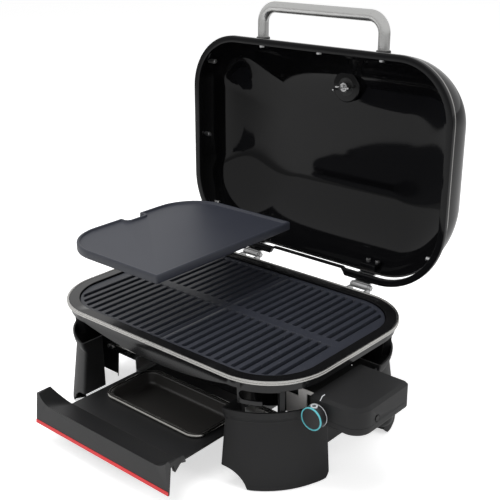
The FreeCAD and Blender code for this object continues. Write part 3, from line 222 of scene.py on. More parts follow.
def turned(name, section, base, axis, place=metres, steps=48, along=False, sharp=32.0):
    """A (radius, height) section spun about the line through base along axis."""
    section = np.asarray(section, float)
    axis = np.asarray(axis, float) / np.linalg.norm(axis)
    side = np.cross(axis, (0.0, 0.0, 1.0) if abs(axis[2]) < 0.9 else (1.0, 0.0, 0.0))
    side /= np.linalg.norm(side)
    other = np.cross(axis, side)
    angle = np.linspace(0, 2 * np.pi, steps, endpoint=False)
    spoke = np.cos(angle)[:, None] * side + np.sin(angle)[:, None] * other
    grid = (np.asarray(base, float) + section[:, 0][:, None, None] * spoke[None]
            + section[:, 1][:, None, None] * axis)
    return surface(name, grid, place, along=along, sharp=sharp)


def pipe(name, path, radii, up, place=metres, sides=24, sharp=32.0):
    """A round tube along a path that lies in one plane with normal `up`: each ring is spanned by
    `up` and by the path's own sideways direction."""
    path = np.asarray(path, float)
    tangent = np.gradient(path, axis=0)
    tangent /= np.linalg.norm(tangent, axis=1)[:, None]
    up = np.asarray(up, float)
    side = np.cross(tangent, up)
    angle = np.linspace(0, 2 * np.pi, sides, endpoint=False)
    radii = np.broadcast_to(radii, len(path))[:, None, None]
    grid = path[:, None] + radii * (np.cos(angle)[None, :, None] * side[:, None]
                                    + np.sin(angle)[None, :, None] * up[None, None])
    return surface(name, grid, place, sharp=sharp)


def softened(node, width, sharp=35.0):
    """The node's own surface as one joined mesh, with a small round on its edges."""
    mesh = NODES[node].data.copy()
    mesh.name = node + "_rounded"
    work = bmesh.new()
    work.from_mesh(mesh)
    bmesh.ops.remove_doubles(work, verts=work.verts, dist=2e-6)
    bmesh.ops.dissolve_limit(work, angle_limit=math.radians(0.6), verts=work.verts,
                             edges=work.edges)
    work.to_mesh(mesh)
    work.free()
    smooth(mesh, sharp)
    return edge_round(placed(node + "_rounded", mesh), width, sharp)


def edge_round(piece, width, sharp=35.0):
    """A small round, `width` millimetres wide, on every edge sharper than `sharp` degrees."""
    bevel = piece.modifiers.new("edge round", "BEVEL")
    bevel.width = width / 1000
    bevel.segments = 2
    bevel.limit_method = "ANGLE"
    bevel.angle_limit = math.radians(sharp)
    bevel.harden_normals = True
    bevel.use_clamp_overlap = True
    return piece


def body_holding(node):
    bodies = RECORD["behaviour"]["bodies"]
    return next(name for name, nodes in bodies.items() if node in nodes)


def slot_of(node):
    return next(s["material_slot"] for s in RECORD["subparts"] if s["node"] == node)


def fit(piece, node, finish):
    """The piece stands for the node: same body, the finish it is given, and the node is hidden."""
    wear(piece, finish)
    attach(piece, body_holding(node))
    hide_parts(node)
    return piece


def add(piece, body, finish):
    """A further piece on a body, beside its nodes."""
    wear(piece, finish)
    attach(piece, body)
    return piece


def wear(piece, finish):
    piece.data.materials.clear()
    piece.data.materials.append(finish)


def paint_node(node, finish):
    slots = NODES[node].material_slots
    if not slots:
        NODES[node].data.materials.append(finish)
    for slot in slots:
        slot.material = finish


# Shader maths

class Wire:
    """One socket of a node tree. Arithmetic on it adds Math nodes."""

    def __init__(self, paint, socket):
        self.paint, self.socket = paint, socket

    def math(self, operation, *others):
        return self.paint.node("ShaderNodeMath", {"operation": operation}, [self, *others])

    def __add__(self, other):
        return self.math("ADD", other)

    def __mul__(self, other):
        return self.math("MULTIPLY", other)

    def __rsub__(self, other):
        return self.paint.node("ShaderNodeMath", {"operation": "SUBTRACT"}, [other, self])

    def __pow__(self, other):
        return self.math("POWER", other)

    def above(self, low, high):
        """0 below low, 1 above high, and a smooth step between."""
        return self.paint.node("ShaderNodeMapRange", {"interpolation_type": "SMOOTHSTEP"},
                               [self, low, high, 0.0, 1.0])


class Paint:
    """A material around one Principled shader."""

    def __init__(self, name, color, roughness, metallic=0.0):
        self.material = bpy.data.materials.new(name)
        self.material.use_nodes = True
        self.tree = self.material.node_tree
        self.shader = self.tree.nodes["Principled BSDF"]
        self.set("Base Color", (*color, 1.0))
        self.set("Roughness", roughness)
        self.set("Metallic", metallic)
        self.place = self.node("ShaderNodeTexCoord", {}, [], "Object")

    def node(self, kind, settings, values, output=0):
        """Any node: its settings, then its inputs in order (None leaves one alone) or by name."""
        made = self.tree.nodes.new(kind)
        for key, value in settings.items():
            setattr(made, key, value)
        pairs = values.items() if isinstance(values, dict) else enumerate(values)
        for key, value in pairs:
            if isinstance(value, Wire):
                self.tree.links.new(value.socket, made.inputs[key])
            elif value is not None:
                made.inputs[key].default_value = value
        return Wire(self, made.outputs[output])

    def set(self, socket, value):
        if isinstance(value, Wire):
            self.tree.links.new(value.socket, self.shader.inputs[socket])
        else:
            self.shader.inputs[socket].default_value = value

    def stretched(self, x, y, z):
        """Object coordinates scaled by x, y and z, in cycles per metre."""
        return self.node("ShaderNodeMapping", {}, {"Vector": self.place, "Scale": (x, y, z)})

    def noise(self, scale, detail=3.0, roughness=0.5, vector=None):
        values = {"Vector": vector or self.place, "Scale": scale, "Detail": detail,
                  "Roughness": roughness}
        return self.node("ShaderNodeTexNoise", {}, values, "Fac")

    def grains(self, scale):
        """Distance to the nearest of many scattered points."""
        return self.node("ShaderNodeTexVoronoi", {"feature": "F1"},
                         {"Vector": self.place, "Scale": scale}, "Distance")

    def blend(self, amount, first, second):
        """Colour mix: first at 0 and second at 1."""
        made = self.tree.nodes.new("ShaderNodeMix")
        made.data_type = "RGBA"
        for place, value in ((0, amount), (6, first), (7, second)):
            if isinstance(value, Wire):
                self.tree.links.new(value.socket, made.inputs[place])
            else:
                made.inputs[place].default_value = (*value, 1.0)
        return Wire(self, made.outputs[2])

    def relief(self, height, depth):
        """Bump of `depth` millimetres where height runs from 0 to 1."""
        values = {"Height": height, "Distance": depth / 1000, "Strength": 1.0}
        self.set("Normal", self.node("ShaderNodeBump", {}, values, "Normal"))


def enamel(name, color, roughness, shine=0.28, wave=0.012):
    """Glossy black coat: faint orange-peel, a little uneven gloss and weak reflections."""
    paint = Paint(name, color, roughness)
    paint.set("Specular IOR Level", shine)
    cloud = paint.noise(9.0, 2.0)
    paint.set("Roughness", cloud * 0.04 + (roughness - 0.02))
    paint.relief(paint.noise(260.0, 2.0), wave)
    return paint.material


def cast_coat(name, dark, light, roughness, flecks):
    """Matte enamel over a casting: fine sand-like grain, slow colour drift and bright flecks."""
    paint = Paint(name, dark, roughness)
    grain = paint.noise(900.0, 4.0, 0.6)
    drift = paint.noise(14.0, 3.0)
    color = paint.blend(drift * 0.6 + grain * 0.4, dark, light)
    spark = 1.0 - paint.grains(330.0).above(0.06, 0.16)
    chosen = paint.noise(120.0, 1.0).above(0.56, 0.62)
    color = paint.blend(spark * chosen * flecks, color, (0.55, 0.57, 0.62))
    paint.set("Base Color", color)
    paint.set("Roughness", grain * 0.16 + (roughness - 0.08))
    paint.relief(grain, 0.08)
    return paint.material


def moulded(name, color, roughness, grain=0.05):
    """Moulded plastic with a fine spark-eroded grain."""
    paint = Paint(name, color, roughness)
    paint.set("Specular IOR Level", 0.35)
    fine = paint.noise(1500.0, 3.0, 0.6)
    slow = paint.noise(12.0, 2.0)
    light = tuple(c * 1.35 + 0.004 for c in color)
    paint.set("Base Color", paint.blend(slow * 0.7 + fine * 0.3, color, light))
    paint.set("Roughness", fine * 0.14 + (roughness - 0.07))
    paint.relief(fine, grain)
    return paint.material


def brushed(name, color, roughness, lines=(40.0, 900.0, 900.0), depth=0.015, metallic=1.0):
    """Brushed metal: long fine lines along one axis, in the bump, gloss and colour."""
    paint = Paint(name, color, roughness, metallic)
    streak = paint.noise(1.0, 4.0, 0.65, paint.stretched(*lines))
    dull = paint.noise(30.0, 2.0)
    paint.set("Base Color", paint.blend(streak, tuple(c * 0.86 for c in color), color))
    paint.set("Roughness", streak * 0.18 + dull * 0.06 + (roughness - 0.12))
    paint.relief(streak, depth)
    return paint.material


def plated(name, color, roughness):
    """Zinc plate: pale spangle and a satin, slightly mottled gloss."""
    paint = Paint(name, color, roughness, metallic=1.0)
    spangle = paint.grains(420.0)
    cloud = paint.noise(60.0, 3.0)
    dark = tuple(c * 0.8 for c in color)
    paint.set("Base Color", paint.blend(spangle * 0.5 + cloud * 0.5, dark, color))
    paint.set("Roughness", cloud * 0.18 + (roughness - 0.09))
    paint.relief(cloud, 0.02)
    return paint.material


def powder(name, color, roughness):
    """Powder-coated sheet: soft orange-peel and an even satin gloss."""
    paint = Paint(name, color, roughness)
    peel = paint.noise(700.0, 2.0)
    slow = paint.noise(10.0, 2.0)
    paint.set("Base Color", paint.blend(slow, color, tuple(c * 1.25 + 0.003 for c in color)))
    paint.set("Roughness", peel * 0.12 + (roughness - 0.06))
    paint.relief(peel, 0.04)
    return paint.material


def scale_face(name):
    """The thermometer's face: pale paint with a ring of dark marks and a red hot end.

    With a the angle round the dial's axis, a mark is where |sin(13 a)| is small. The radii are in
    metres."""
    pale, dark, red = (0.82, 0.82, 0.8), (0.03, 0.03, 0.03), (0.6, 0.05, 0.03)
    paint = Paint(name, pale, 0.5)
    middle = middle_of("thermometer_dial")
    local = paint.node("ShaderNodeMapping", {}, {"Vector": paint.place, "Location": tuple(-middle)})
    x = paint.node("ShaderNodeSeparateXYZ", {}, [local])
    z = Wire(paint, x.socket.node.outputs[2])
    angle = x.math("ARCTAN2", z)
    radius = (x * x + z * z) ** 0.5

    def band(value, start, end, soft):
        """1 between start and end, falling to 0 within soft on both sides."""
        return value.above(start, start + soft) * (1.0 - value.above(end, end + soft))

    marks = 1.0 - (angle * 13.0).math("SINE").math("ABSOLUTE").above(0.12, 0.3)
    face = paint.blend(marks * band(radius, 0.0185, 0.0228, 0.0003), pale, dark)
    hot = band(angle, 0.4, 1.9, 0.05) * band(radius, 0.0165, 0.0182, 0.0003)
    paint.set("Base Color", paint.blend(hot, face, red))
    return paint.material


lid_enamel = enamel("lid enamel", (0.004, 0.004, 0.0045), 0.07, 0.24)
bowl_enamel = enamel("bowl enamel", (0.006, 0.006, 0.0065), 0.14, 0.5)
# The pan's dark enamel is lightened past its own colour: partly the coat's dark grey, partly a
# painted sheen for the soft light that its shaded floor reflects.
pan_coat_and_painted_sheen = enamel("pan coat and painted sheen", (0.045, 0.043, 0.041), 0.34, 0.5)
grate_coat = cast_coat("grate enamel", (0.018, 0.02, 0.028), (0.035, 0.038, 0.05), 0.42, 0.7)
griddle_coat = cast_coat("griddle enamel", (0.022, 0.024, 0.033), (0.031, 0.034, 0.046), 0.46,
                         0.12)
leg_plastic = moulded("leg plastic", (0.0065, 0.0065, 0.007), 0.5)
box_plastic = moulded("control box plastic", (0.0085, 0.0085, 0.009), 0.5)
# The element neck is drawn near-black: painted shade for the dark gap between the bowl and the
# control box where it sits.
neck_painted_shade = moulded("element neck painted shade", (0.004, 0.004, 0.004), 0.7)
knob_plastic = moulded("knob plastic", (0.02, 0.02, 0.021), 0.38)
collar_plastic = moulded("collar plastic", (0.015, 0.015, 0.015), 0.45)
inner_plastic = moulded("inner plastic", (0.05, 0.045, 0.04), 0.55)
soft_rubber = moulded("foot rubber", (0.02, 0.02, 0.02), 0.8)
drawer_coat = powder("drawer coat", (0.011, 0.011, 0.0115), 0.42)
stripe_paint = powder("red stripe", (0.72, 0.03, 0.035), 0.4)
trim_steel = brushed("trim steel", (0.6, 0.59, 0.57), 0.26, (500.0, 500.0, 900.0))
lid_trim_steel = brushed("lid trim steel", (0.42, 0.41, 0.4), 0.3, (500.0, 500.0, 900.0))
tube_steel = brushed("handle steel", (0.62, 0.62, 0.61), 0.3)
# The shield plate's near-white colour with no metal is a painted reflection: it stands in for the
# bright floor that the steel plate mirrors.
shield_painted_reflection = brushed("shield painted reflection", (0.95, 0.92, 0.9), 0.42, (30.0, 900.0, 900.0),
                      metallic=0.0)
pan_rim_steel = brushed("pan rim steel", (0.42, 0.41, 0.39), 0.24, (60.0, 700.0, 900.0), 0.008)
zinc = plated("zinc plate", (0.6, 0.6, 0.6), 0.36)
element_coat = plated("element sheath", (0.12, 0.11, 0.1), 0.5)
silver_paint = powder("silver paint", (0.62, 0.64, 0.66), 0.3)
teal_paint = powder("teal ring", (0.12, 0.5, 0.56), 0.25)
black_steel = plated("blackened steel", (0.05, 0.05, 0.05), 0.45)
pin_brass = plated("pin brass", (0.8, 0.6, 0.28), 0.25)
dial_face = scale_face("dial face")
needle_paint = powder("needle paint", (0.5, 0.03, 0.02), 0.35)
gauge_steel = brushed("gauge steel", (0.6, 0.6, 0.6), 0.2, (400.0, 400.0, 400.0), 0.005)


def clear_glass():
    paint = Paint("gauge glass", (0.95, 0.97, 0.97), 0.03)
    paint.set("Transmission Weight", 1.0)
    paint.set("IOR", 1.45)
    return paint.material


gauge_glass = clear_glass()

slot_finish = {
    "black_enamel": bowl_enamel, "cast_enamel": grate_coat, "bright_steel": trim_steel,
    "handle_steel": tube_steel, "zinc_steel": zinc, "element_sheath": element_coat,
    "black_plastic": leg_plastic, "pad_rubber": soft_rubber, "drawer_paint": drawer_coat,
    "red_paint": stripe_paint, "pan_steel": pan_coat_and_painted_sheen, "black_steel": black_steel,
    "pin_brass": pin_brass, "silver_plastic": silver_paint, "teal_ring": teal_paint,
    "gauge_steel": gauge_steel, "dial_paint": dial_face, "pointer_paint": needle_paint,
    "clear_glass": gauge_glass,
}
own_finish = {
    "griddle_plate": griddle_coat, "shield_plate": shield_painted_reflection,
    "control_housing_top": box_plastic, "control_housing_base": box_plastic,
    "handle_collars": collar_plastic, "knob_body": knob_plastic,
    "thermostat": inner_plastic, "terminal_block": inner_plastic, "bowl_posts": leg_plastic,
    "element_neck": neck_painted_shade, "thermometer_washer": collar_plastic,
}


def finish_of(node):
    return own_finish.get(node) or slot_finish[slot_of(node)]


for subpart in RECORD["subparts"]:
    paint_node(subpart["node"], finish_of(subpart["node"]))


# Bowl, rim, grates and griddle

def make_rim():
    """Bright double bead: the outer face is two half waves, its offset -1.1 + 1.1 |sin(2 pi h)|^0.7
    for h from 0 at the foot to 1 at the top."""
    foot = RIM_TOP - 7
    h = np.linspace(0.0, 1.0, 25)
    outer = np.stack([-1.1 + 1.1 * np.abs(np.sin(2 * np.pi * h)) ** 0.7, foot + 7 * h], -1)
    inner = np.array([(-2.2, RIM_TOP), (-3.6, RIM_TOP - 0.6), (-4.0, RIM_TOP - 1.6),
                      (-4.0, foot + 0.2), (-2.2, foot)])
    bead = swept_ring("rim_bead", plan(275, -191, 191, 110, 110, 40),
                      np.concatenate([outer, inner]), sharp=50)
    fit(bead, "rim_trim", trim_steel)


def grate_half_depth(x):
    """Half depth of the grates at x: straight to the corner's middle, then the corner's circle."""
    corner_x, corner_y, radius = 165.0, 81.0, 86.8
    over = np.clip(np.abs(x) - corner_x, 0, radius)
    return corner_y + np.sqrt(radius ** 2 - over ** 2)


def make_grate(side):
    """Height over x and y: the slots sink by a smooth step across x, repeated every 17.6, times a
    smooth step along y between the middle band and the border."""
    pitch, slot_width, border, band, deep = 17.6, 8.0, 9.0, 22.0, 12.5
    top, low, near_edge, far_edge = 184.0, 168.2, 0.75, 251.8
    first = near_edge + border
    steps = np.array([-2.4, -1.2, -0.5, 0.2, 0.7, 1.2])
    across = [near_edge, 1.3]
    for i in range(13):
        left = first + i * pitch
        across += [*(left + steps), left + slot_width / 2, *(left + slot_width - steps[::-1])]
    across += list(far_edge - 20 * (1 - np.sin(np.linspace(0.15, 1.5708, 12))) ** 1.6)
    x = np.unique(np.round(across, 4))
    near = (x - first + pitch / 2) % pitch - pitch / 2
    inside = (x > first - pitch / 2) & (x < first + 12.5 * pitch)
    wall = np.minimum(near + 0.4, slot_width + 0.4 - near)
    rise = np.clip(wall / 1.6, 0, 1)
    cut_x = np.where(inside, rise * rise * (3 - 2 * rise), 0)
    crown = np.where(inside, 1 - np.abs(near - slot_width / 2 - pitch / 2) / 4.8, 1.0)
    depth = grate_half_depth(x)
    # Distances in from the outer edge, then out from the middle band.
    edge = np.array([0.0, 0.35, 1.0, 2.2, border - 1.6, border - 0.6, border + 0.2, border + 1.2])
    inner = band / 2 + np.array([1.2, 0.2, -0.6, -1.6, -band / 2])
    shared = np.minimum(inner[None], depth[:, None] - border - 2)
    half = np.concatenate([depth[:, None] - edge[None], shared], 1)
    cut_y = np.array([0, 0, 0, 0, 0, 0.12, 0.8, 1, 1, 0.8, 0.12, 0, 0])
    drop = np.concatenate([[1.3, 0.45, 0.1], np.zeros(len(cut_y) - 3)])
    y = np.concatenate([-half, half[:, ::-1][:, 1:]], 1)
    cut_y = np.concatenate([cut_y, cut_y[::-1][1:]])
    drop = np.concatenate([drop, drop[::-1][1:]])
    to_edge = np.minimum(x - near_edge, far_edge - x)
    round_x = np.clip((1.2 - to_edge) / 1.2, 0, 1) ** 2 * 1.2
    z = top - deep * cut_x[:, None] * cut_y[None] - drop[None] - round_x[:, None]
    z = z - 0.5 * (1 - np.clip(crown, 0, 1))[:, None] ** 2 * cut_y[None]
    # The underside is one flat strip between the two ends of each row.
    y = np.concatenate([y, y[:, -1:], y[:, :1]], 1)
    z = np.concatenate([z, np.full((len(x), 2), low)], 1)
    grid = np.stack([np.broadcast_to(x[:, None] * side, y.shape), y, z], -1)
    name = "grate_left" if side < 0 else "grate_right"
    fit(surface(name + "_ribbed", grid, sharp=40), name, grate_coat)


def griddle_loop(inset):
    """The griddle's plan outline drawn in by inset, with the finger notch in its left side; the
    corners' radii change with it."""
    x0, x1, y, notch = -250 + inset, 3 - inset, 166 - inset, -232 + inset
    notch_back, notch_front = 27.05 + inset, -16.45 - inset
    points = [(x0, -y), (x1, -y), (x1, y), (x0, y), (x0, notch_back), (notch, notch_back),
              (notch, notch_front), (x0, notch_front)]
    outer, inner = max(3.0 - 0.3 * inset, 0.8), 7.3 + inset
    radii = [85 - inset, outer, outer, 85 - inset, outer, inner, inner, outer]
    return rounded(points, radii, 16)


def make_griddle():
    """Plate with a rounded underside, a raised lip and a sunken face: loops at (inset, height)."""
    underside = 278.0
    section = [(1.6, 0), (0.5, 0.4), (0, 1.6), (0, 12.6), (0.5, 14.2), (1.7, 14.9), (3.0, 15),
               (4.4, 14.7), (5.2, 13.8), (5.8, 12.2), (6.8, 11.2), (8.6, 11)]
    rows = [level_loop(griddle_loop(inset), underside + height) for inset, height in section]
    fit(surface("griddle_cast", np.stack(rows), sharp=50), "griddle_plate", griddle_coat)


# Lid

def dome_levels(rise, inset, foot, steps=30):
    """Plan loops up the dome: with c = 1 - cos t and s = sin t for t from 0 to a quarter turn, the
    sides come in by rise (0.75 c + 0.5 c^3), front and back by rise (1.08 c + 0.12 s), the height
    is rise s, and the corners' radii shrink by 64 c^0.8."""
    rows = []
    for t in np.linspace(0, np.pi / 2, steps):
        c, s = 1 - math.cos(t), math.sin(t)
        side = 285.5 - inset - rise * (0.75 * c + 0.5 * c ** 3)
        draw = inset + rise * (1.08 * c + 0.12 * s)
        shrink = 2 + inset + 64 * c ** 0.8
        loop = plan(side, -202 + draw, 189 - draw, 107 - shrink, 130 - shrink, 30)
        rows.append(level_loop(loop, foot + rise * s))
    return np.stack(rows)


def make_dome():
    """Shell with a round seat for the thermometer and a pad for each hinge."""
    wall = 3.0
    outer = dome_levels(DOME_RISE, 0.0, DOME_FOOT)
    inner = dome_levels(DOME_RISE - wall, wall, DOME_FOOT)
    # The inner skin reaches down behind the bright strip to the ring.
    down, wider = (0, 0, 3.9), (1.0025, 1.0025, 1)
    lip = np.stack([inner[0] - down, inner[0] * wider - down, inner[0] * wider])
    grid = np.concatenate([inner[::-1], lip, outer])
    fit(surface("lid_dome_shell", grid, swung_open, sharp=40), "lid_dome", lid_enamel)
    seat = rounded([(0.1, 286.5), (27.5, 286.5), (29, 288), (29, 304.6), (27.4, 306.2),
                    (0.1, 306.2)], [0, 1.2, 0.5, 0.4, 1, 0], 4, closed=False)
    add(turned("gauge_seat", seat, (GAUGE_X, GAUGE_Y, 0), (0, 0, 1), swung_open),
        "lid", lid_enamel)
    section = [(-1.5, 202.6), (-0.4, 203), (0, 204), (0, 231), (-0.6, 232), (-1.6, 232.5)]
    for name, x in (("hinge_pad_left", -HINGE_X), ("hinge_pad_right", HINGE_X)):
        loop = rounded([(x - 16.2, 175), (x + 16.2, 175), (x + 16.2, 192), (x - 16.2, 192)], 2, 4)
        add(plate(name, loop, section, swung_open), "lid", lid_enamel)


def make_lid_ring():
    """Flat ring with a rounded outer edge; behind, between the hinges, its edge steps in."""
    face, step_in, step_half = 12, 15.0, 88.0
    loop = plan(287.5, -204, 204, 107, 130, 30, spacing=4.0)
    section = rounded([(0, LID_FOOT), (0, RING_TOP), (-face, RING_TOP), (-face, LID_FOOT)],
                      [1.2, 2.6, 1.2, 1.2], 5)
    step = np.clip((step_half - np.abs(loop[:, 0])) / 5.0, 0, 1) * (loop[:, 1] > 150)
    step = step * step * (3 - 2 * step) * step_in
    share = (section[:, 0] + face) / face
    grid = carried(loop, section)
    grid[..., 1] -= share[:, None] * step[None]
    fit(surface("lid_ring_rounded", grid, swung_open, along=True, sharp=45), "lid_ring",
        lid_enamel)


def make_lid_trim():
    """Half-round bright strip under the dome's foot."""
    loop = plan(286.1, -202.6, 188.9, 105, 128, 34)
    bulge = np.linspace(-np.pi / 2, np.pi / 2, 9)
    outer = np.stack([-1.2 + 1.2 * np.cos(bulge), 200.5 + 2.0 * np.sin(bulge)], -1)
    section = np.concatenate([outer, [(-3.2, DOME_FOOT), (-3.2, RING_TOP)]])
    fit(swept_ring("lid_bead", loop, section, swung_open, sharp=50), "lid_trim", lid_trim_steel)


def make_handle():
    """Tube with two round bends, in rings about 12 apart, and a collar at each foot."""
    half, wall, reach, z = 132.5, -193.0, -259.5, 215.5
    path = rounded([(-half, wall, z), (-half, reach, z), (half, reach, z), (half, wall, z)], 29, 14,
                   closed=False)
    loop = [path[0]]
    for start, end in zip(path[:-1], path[1:]):
        count = max(int(np.linalg.norm(end - start) / 12), 1)
        loop += [start + (end - start) * (k + 1) / count for k in range(count)]
    tube = pipe("lid_handle_tube", np.array(loop), 10.0, (0, 0, 1), swung_open, 36)
    fit(tube, "lid_handle", tube_steel)
    fit(softened("handle_collars", 0.8), "handle_collars", collar_plastic)


def make_gauge():
    """Case with its bezel, neck and stem of the thermometer, turned about its own axis."""
    base = (GAUGE_X, GAUGE_Y, 306.2)
    up = (0, 0, 1)
    case = rounded([(5, 0), (27, 0), (27, 12), (28.5, 12), (28.5, 15), (25.5, 15), (25.5, 2.2),
                    (5, 2.2)], [0.3, 0.8, 0.2, 0.6, 1.2, 0.6, 0.4, 0.3], 5)
    piece = turned("gauge_case", case, base, up, swung_open, 64, along=True)
    neck = [(0.05, -31), (4.2, -31), (5, -30.2), (5, 0.4), (0.05, 0.4)]
    add(turned("gauge_neck", neck, base, up, swung_open, 32), "lid", gauge_steel)
    fit(piece, "thermometer_case", gauge_steel)
    stem = rounded([(0.05, -61), (1.2, -61), (2.0, -60), (2.0, -31), (0.05, -31)],
                   [0, 0.3, 0.5, 0.1, 0], 4, False)
    fit(turned("gauge_stem", stem, base, up, swung_open, 24), "thermometer_stem", gauge_steel)


def make_lid_nuts():
    fit(softened("lid_nuts", 0.8), "lid_nuts", zinc)
    fit(softened("thermometer_wing_nut", 0.9), "thermometer_wing_nut", zinc)


make_rim()
make_grate(-1)
make_grate(1)
make_griddle()
make_dome()
make_lid_ring()
make_lid_trim()
make_handle()
make_gauge()
make_lid_nuts()


# Base, drawer and control box

def blend_corner(start, corner, end):
    """Points round a corner: (1 - t)^2 start + 2 t (1 - t) corner + t^2 end."""
    t = np.linspace(0, 1, 7)[:, None]
    start, corner, end = np.array(start), np.array(corner), np.array(end)
    return (1 - t) ** 2 * start + 2 * t * (1 - t) * corner + t ** 2 * end


def leg_outline(r):
    """Plan loop of the front right leg where its outer radius is r: a wall 3 thick round the leg's
    middle, turned inwards at both ends. Its outer and inner halves have matching points."""
    def arc(radius):
        angle = np.linspace(front + 6.5 / r, side - 3 / r, 46)
        return np.stack([LEG_X + radius * np.cos(angle), LEG_Y + radius * np.sin(angle)], -1)

    front, side = -math.acos(22 / r), -math.asin(2 / r)
    outer, inner = arc(r), arc(r - 3)
    low = LEG_Y + r * math.sin(front)
    far = LEG_X + r * math.cos(side)
    outside = np.concatenate([
        [(162.8, -151.0), (162.0, -151.8)],
        blend_corner((162, low + 6.5), (162, low), outer[0]), outer[1:-1],
        blend_corner(outer[-1], (far, -68), (far - 3, -68)), [(216.1, -68), (215.3, -68.8)]])
    inside = np.concatenate([
        [(164.2, -151.0), (165.0, -151.8)],
        blend_corner((165, low + 6.5), (165, low + 3), inner[0]), inner[1:-1],
        blend_corner(inner[-1], (far - 3, -71), (far - 6, -71)), [(216.1, -71), (215.3, -70.2)]])
    return np.concatenate([outside, inside[::-1]])


def make_leg(node, side, back):
    """Leg as level loops: its radius narrows evenly from the foot to the neck at z = 112, then
    grows by 5.7 (1 - (1 - u)^2.1) up to the open mouth at z = 131, with u from 0 to 1. In front
    the lowest edge follows an arch, z = -10 + sqrt(44^2 - (x - 165)^2), and the side's end is cut
    off at 45 degrees and stands up to 9 further forward at the floor."""
    foot_radius, neck_radius, neck_z, mouth_z, arch = 140.5, 125.3, 112, 131, 44
    narrowing = foot_radius - neck_radius
    neck, foot = leg_outline(neck_radius), leg_outline(foot_radius)
    x, y = foot[:, 0], foot[:, 1]
    arched = -10 + np.sqrt(np.maximum(arch ** 2 - (x - 165) ** 2, 0))
    cut_off = np.where(x > 216, y + 79, 0)
    lowest = np.maximum(np.maximum(np.where(y < -128, arched, 0), cut_off), 1.5)
    level = np.concatenate([np.linspace(1.5, 36, 16), np.linspace(42, 108, 12),
                            np.linspace(110, mouth_z, 14)])
    z = np.maximum(level[:, None], lowest[None])
    u = np.clip((z - neck_z) / (mouth_z - neck_z), 0, 1)
    radius = foot_radius - narrowing * np.minimum(z, neck_z) / neck_z + 5.7 * (1 - (1 - u) ** 2.1)
    share = ((radius - neck_radius) / narrowing)[..., None]
    flat = neck + (foot - neck) * share
    flat[..., 1] -= 9 * np.clip(1 - z / 90, 0, 1) * np.clip((y + 110) / 40, 0, 1) * (x > 215)
    grid = np.concatenate([flat, z[..., None]], -1) * (side, back, 1)
    shell = surface(node + "_shell", grid, sharp=40, wall=True)
    fit(edge_round(shell, 0.7, 50), node, leg_plastic)
    # A flat shelf inside the foot, as an arc of its (radius, height) section.
    angle = np.radians(np.linspace(-59, -9.5, 30))[:, None]
    reach, height = np.array([(118.0, 1.6), (137.3, 1.6), (137.0, 4.4), (118.0, 4.4)]).T
    shelf = np.stack([LEG_X + reach * np.cos(angle), LEG_Y + reach * np.sin(angle),
                      np.broadcast_to(height, (30, 4))], -1) * (side, back, 1)
    add(surface(node + "_shelf", shelf), "base", leg_plastic)


make_leg("leg_front_right", 1, 1)
make_leg("leg_front_left", -1, 1)
make_leg("leg_rear_right", 1, -1)
make_leg("leg_rear_left", -1, -1)

# Nodes that keep the CAD's own surface, each with the width of the round on its edges.
for node, width in (
        ("bowl", 0.8), ("side_skirt_left", 0.6), ("side_skirt_right", 0.6),
        ("control_housing_top", 1.0), ("control_housing_base", 0.8), ("drawer_front", 0.7),
        ("drawer_tray", 0.4), ("shield_plate", 0.4), ("hinge_bracket_left", 0.5),
        ("hinge_bracket_right", 0.5), ("hinge_leaf_left", 0.5), ("hinge_leaf_right", 0.5),
        ("rail_arms", 0.5), ("drawer_rail_left", 0.4), ("drawer_rail_right", 0.4),
        ("hinge_leaf_bolts", 0.5), ("drawer_stripe", 0.2), ("power_inlet", 0.5),
        ("bowl_posts", 0.5), ("shield_foot", 0.4), ("housing_screws", 0.3)):
    fit(softened(node, width), node, finish_of(node))


def make_pan():
    """Pressed pan: rows run up the inside from the floor, over the rolled rim and down the
    outside, each at an inset from the rim's outline."""
    loop = plan(114, -59, 59, 26, 26, 18) + np.array([0.0, -142.0])
    z, roll_radius = 59.0, 3
    inside = rounded([(-25, z - 24), (-13, z - 24), (-9.6, z - 3), (-8.6, z - 1.2),
                      (-6.2, z - 1.2)], [0, 8, 1, 0.6, 0], 7, False)
    outside = rounded([(-5.6, z - 5), (-9.2, z - 7), (-12.4, z - 25), (-25, z - 25)],
                      [0, 2, 8, 0], 7, False)

    def rolled(radius, start, end):
        angle = np.linspace(start, end, 12)
        return np.stack([radius * np.cos(angle) - roll_radius,
                         radius * np.sin(angle) + z - roll_radius], -1)

    section = np.concatenate([inside, rolled(roll_radius, 2.6, -1.2), outside])
    fit(plate("drip_pan_pressed", loop, section, sharp=50), "drip_pan", pan_coat_and_painted_sheen)
    bead = np.concatenate([rolled(3.02, 2.3, -1.0), rolled(2.4, -1.0, 2.3)])
    add(swept_ring("drip_pan_rim", loop, bead, sharp=60), "drawer", pan_rim_steel)
    edge = [(-8.7, z - 1.2), (-8.1, z - 0.9), (-7.5, z - 1.2), (-8.1, z - 1.5)]
    add(swept_ring("drip_pan_inner_edge", loop, edge, sharp=80), "drawer",
        pan_rim_steel)


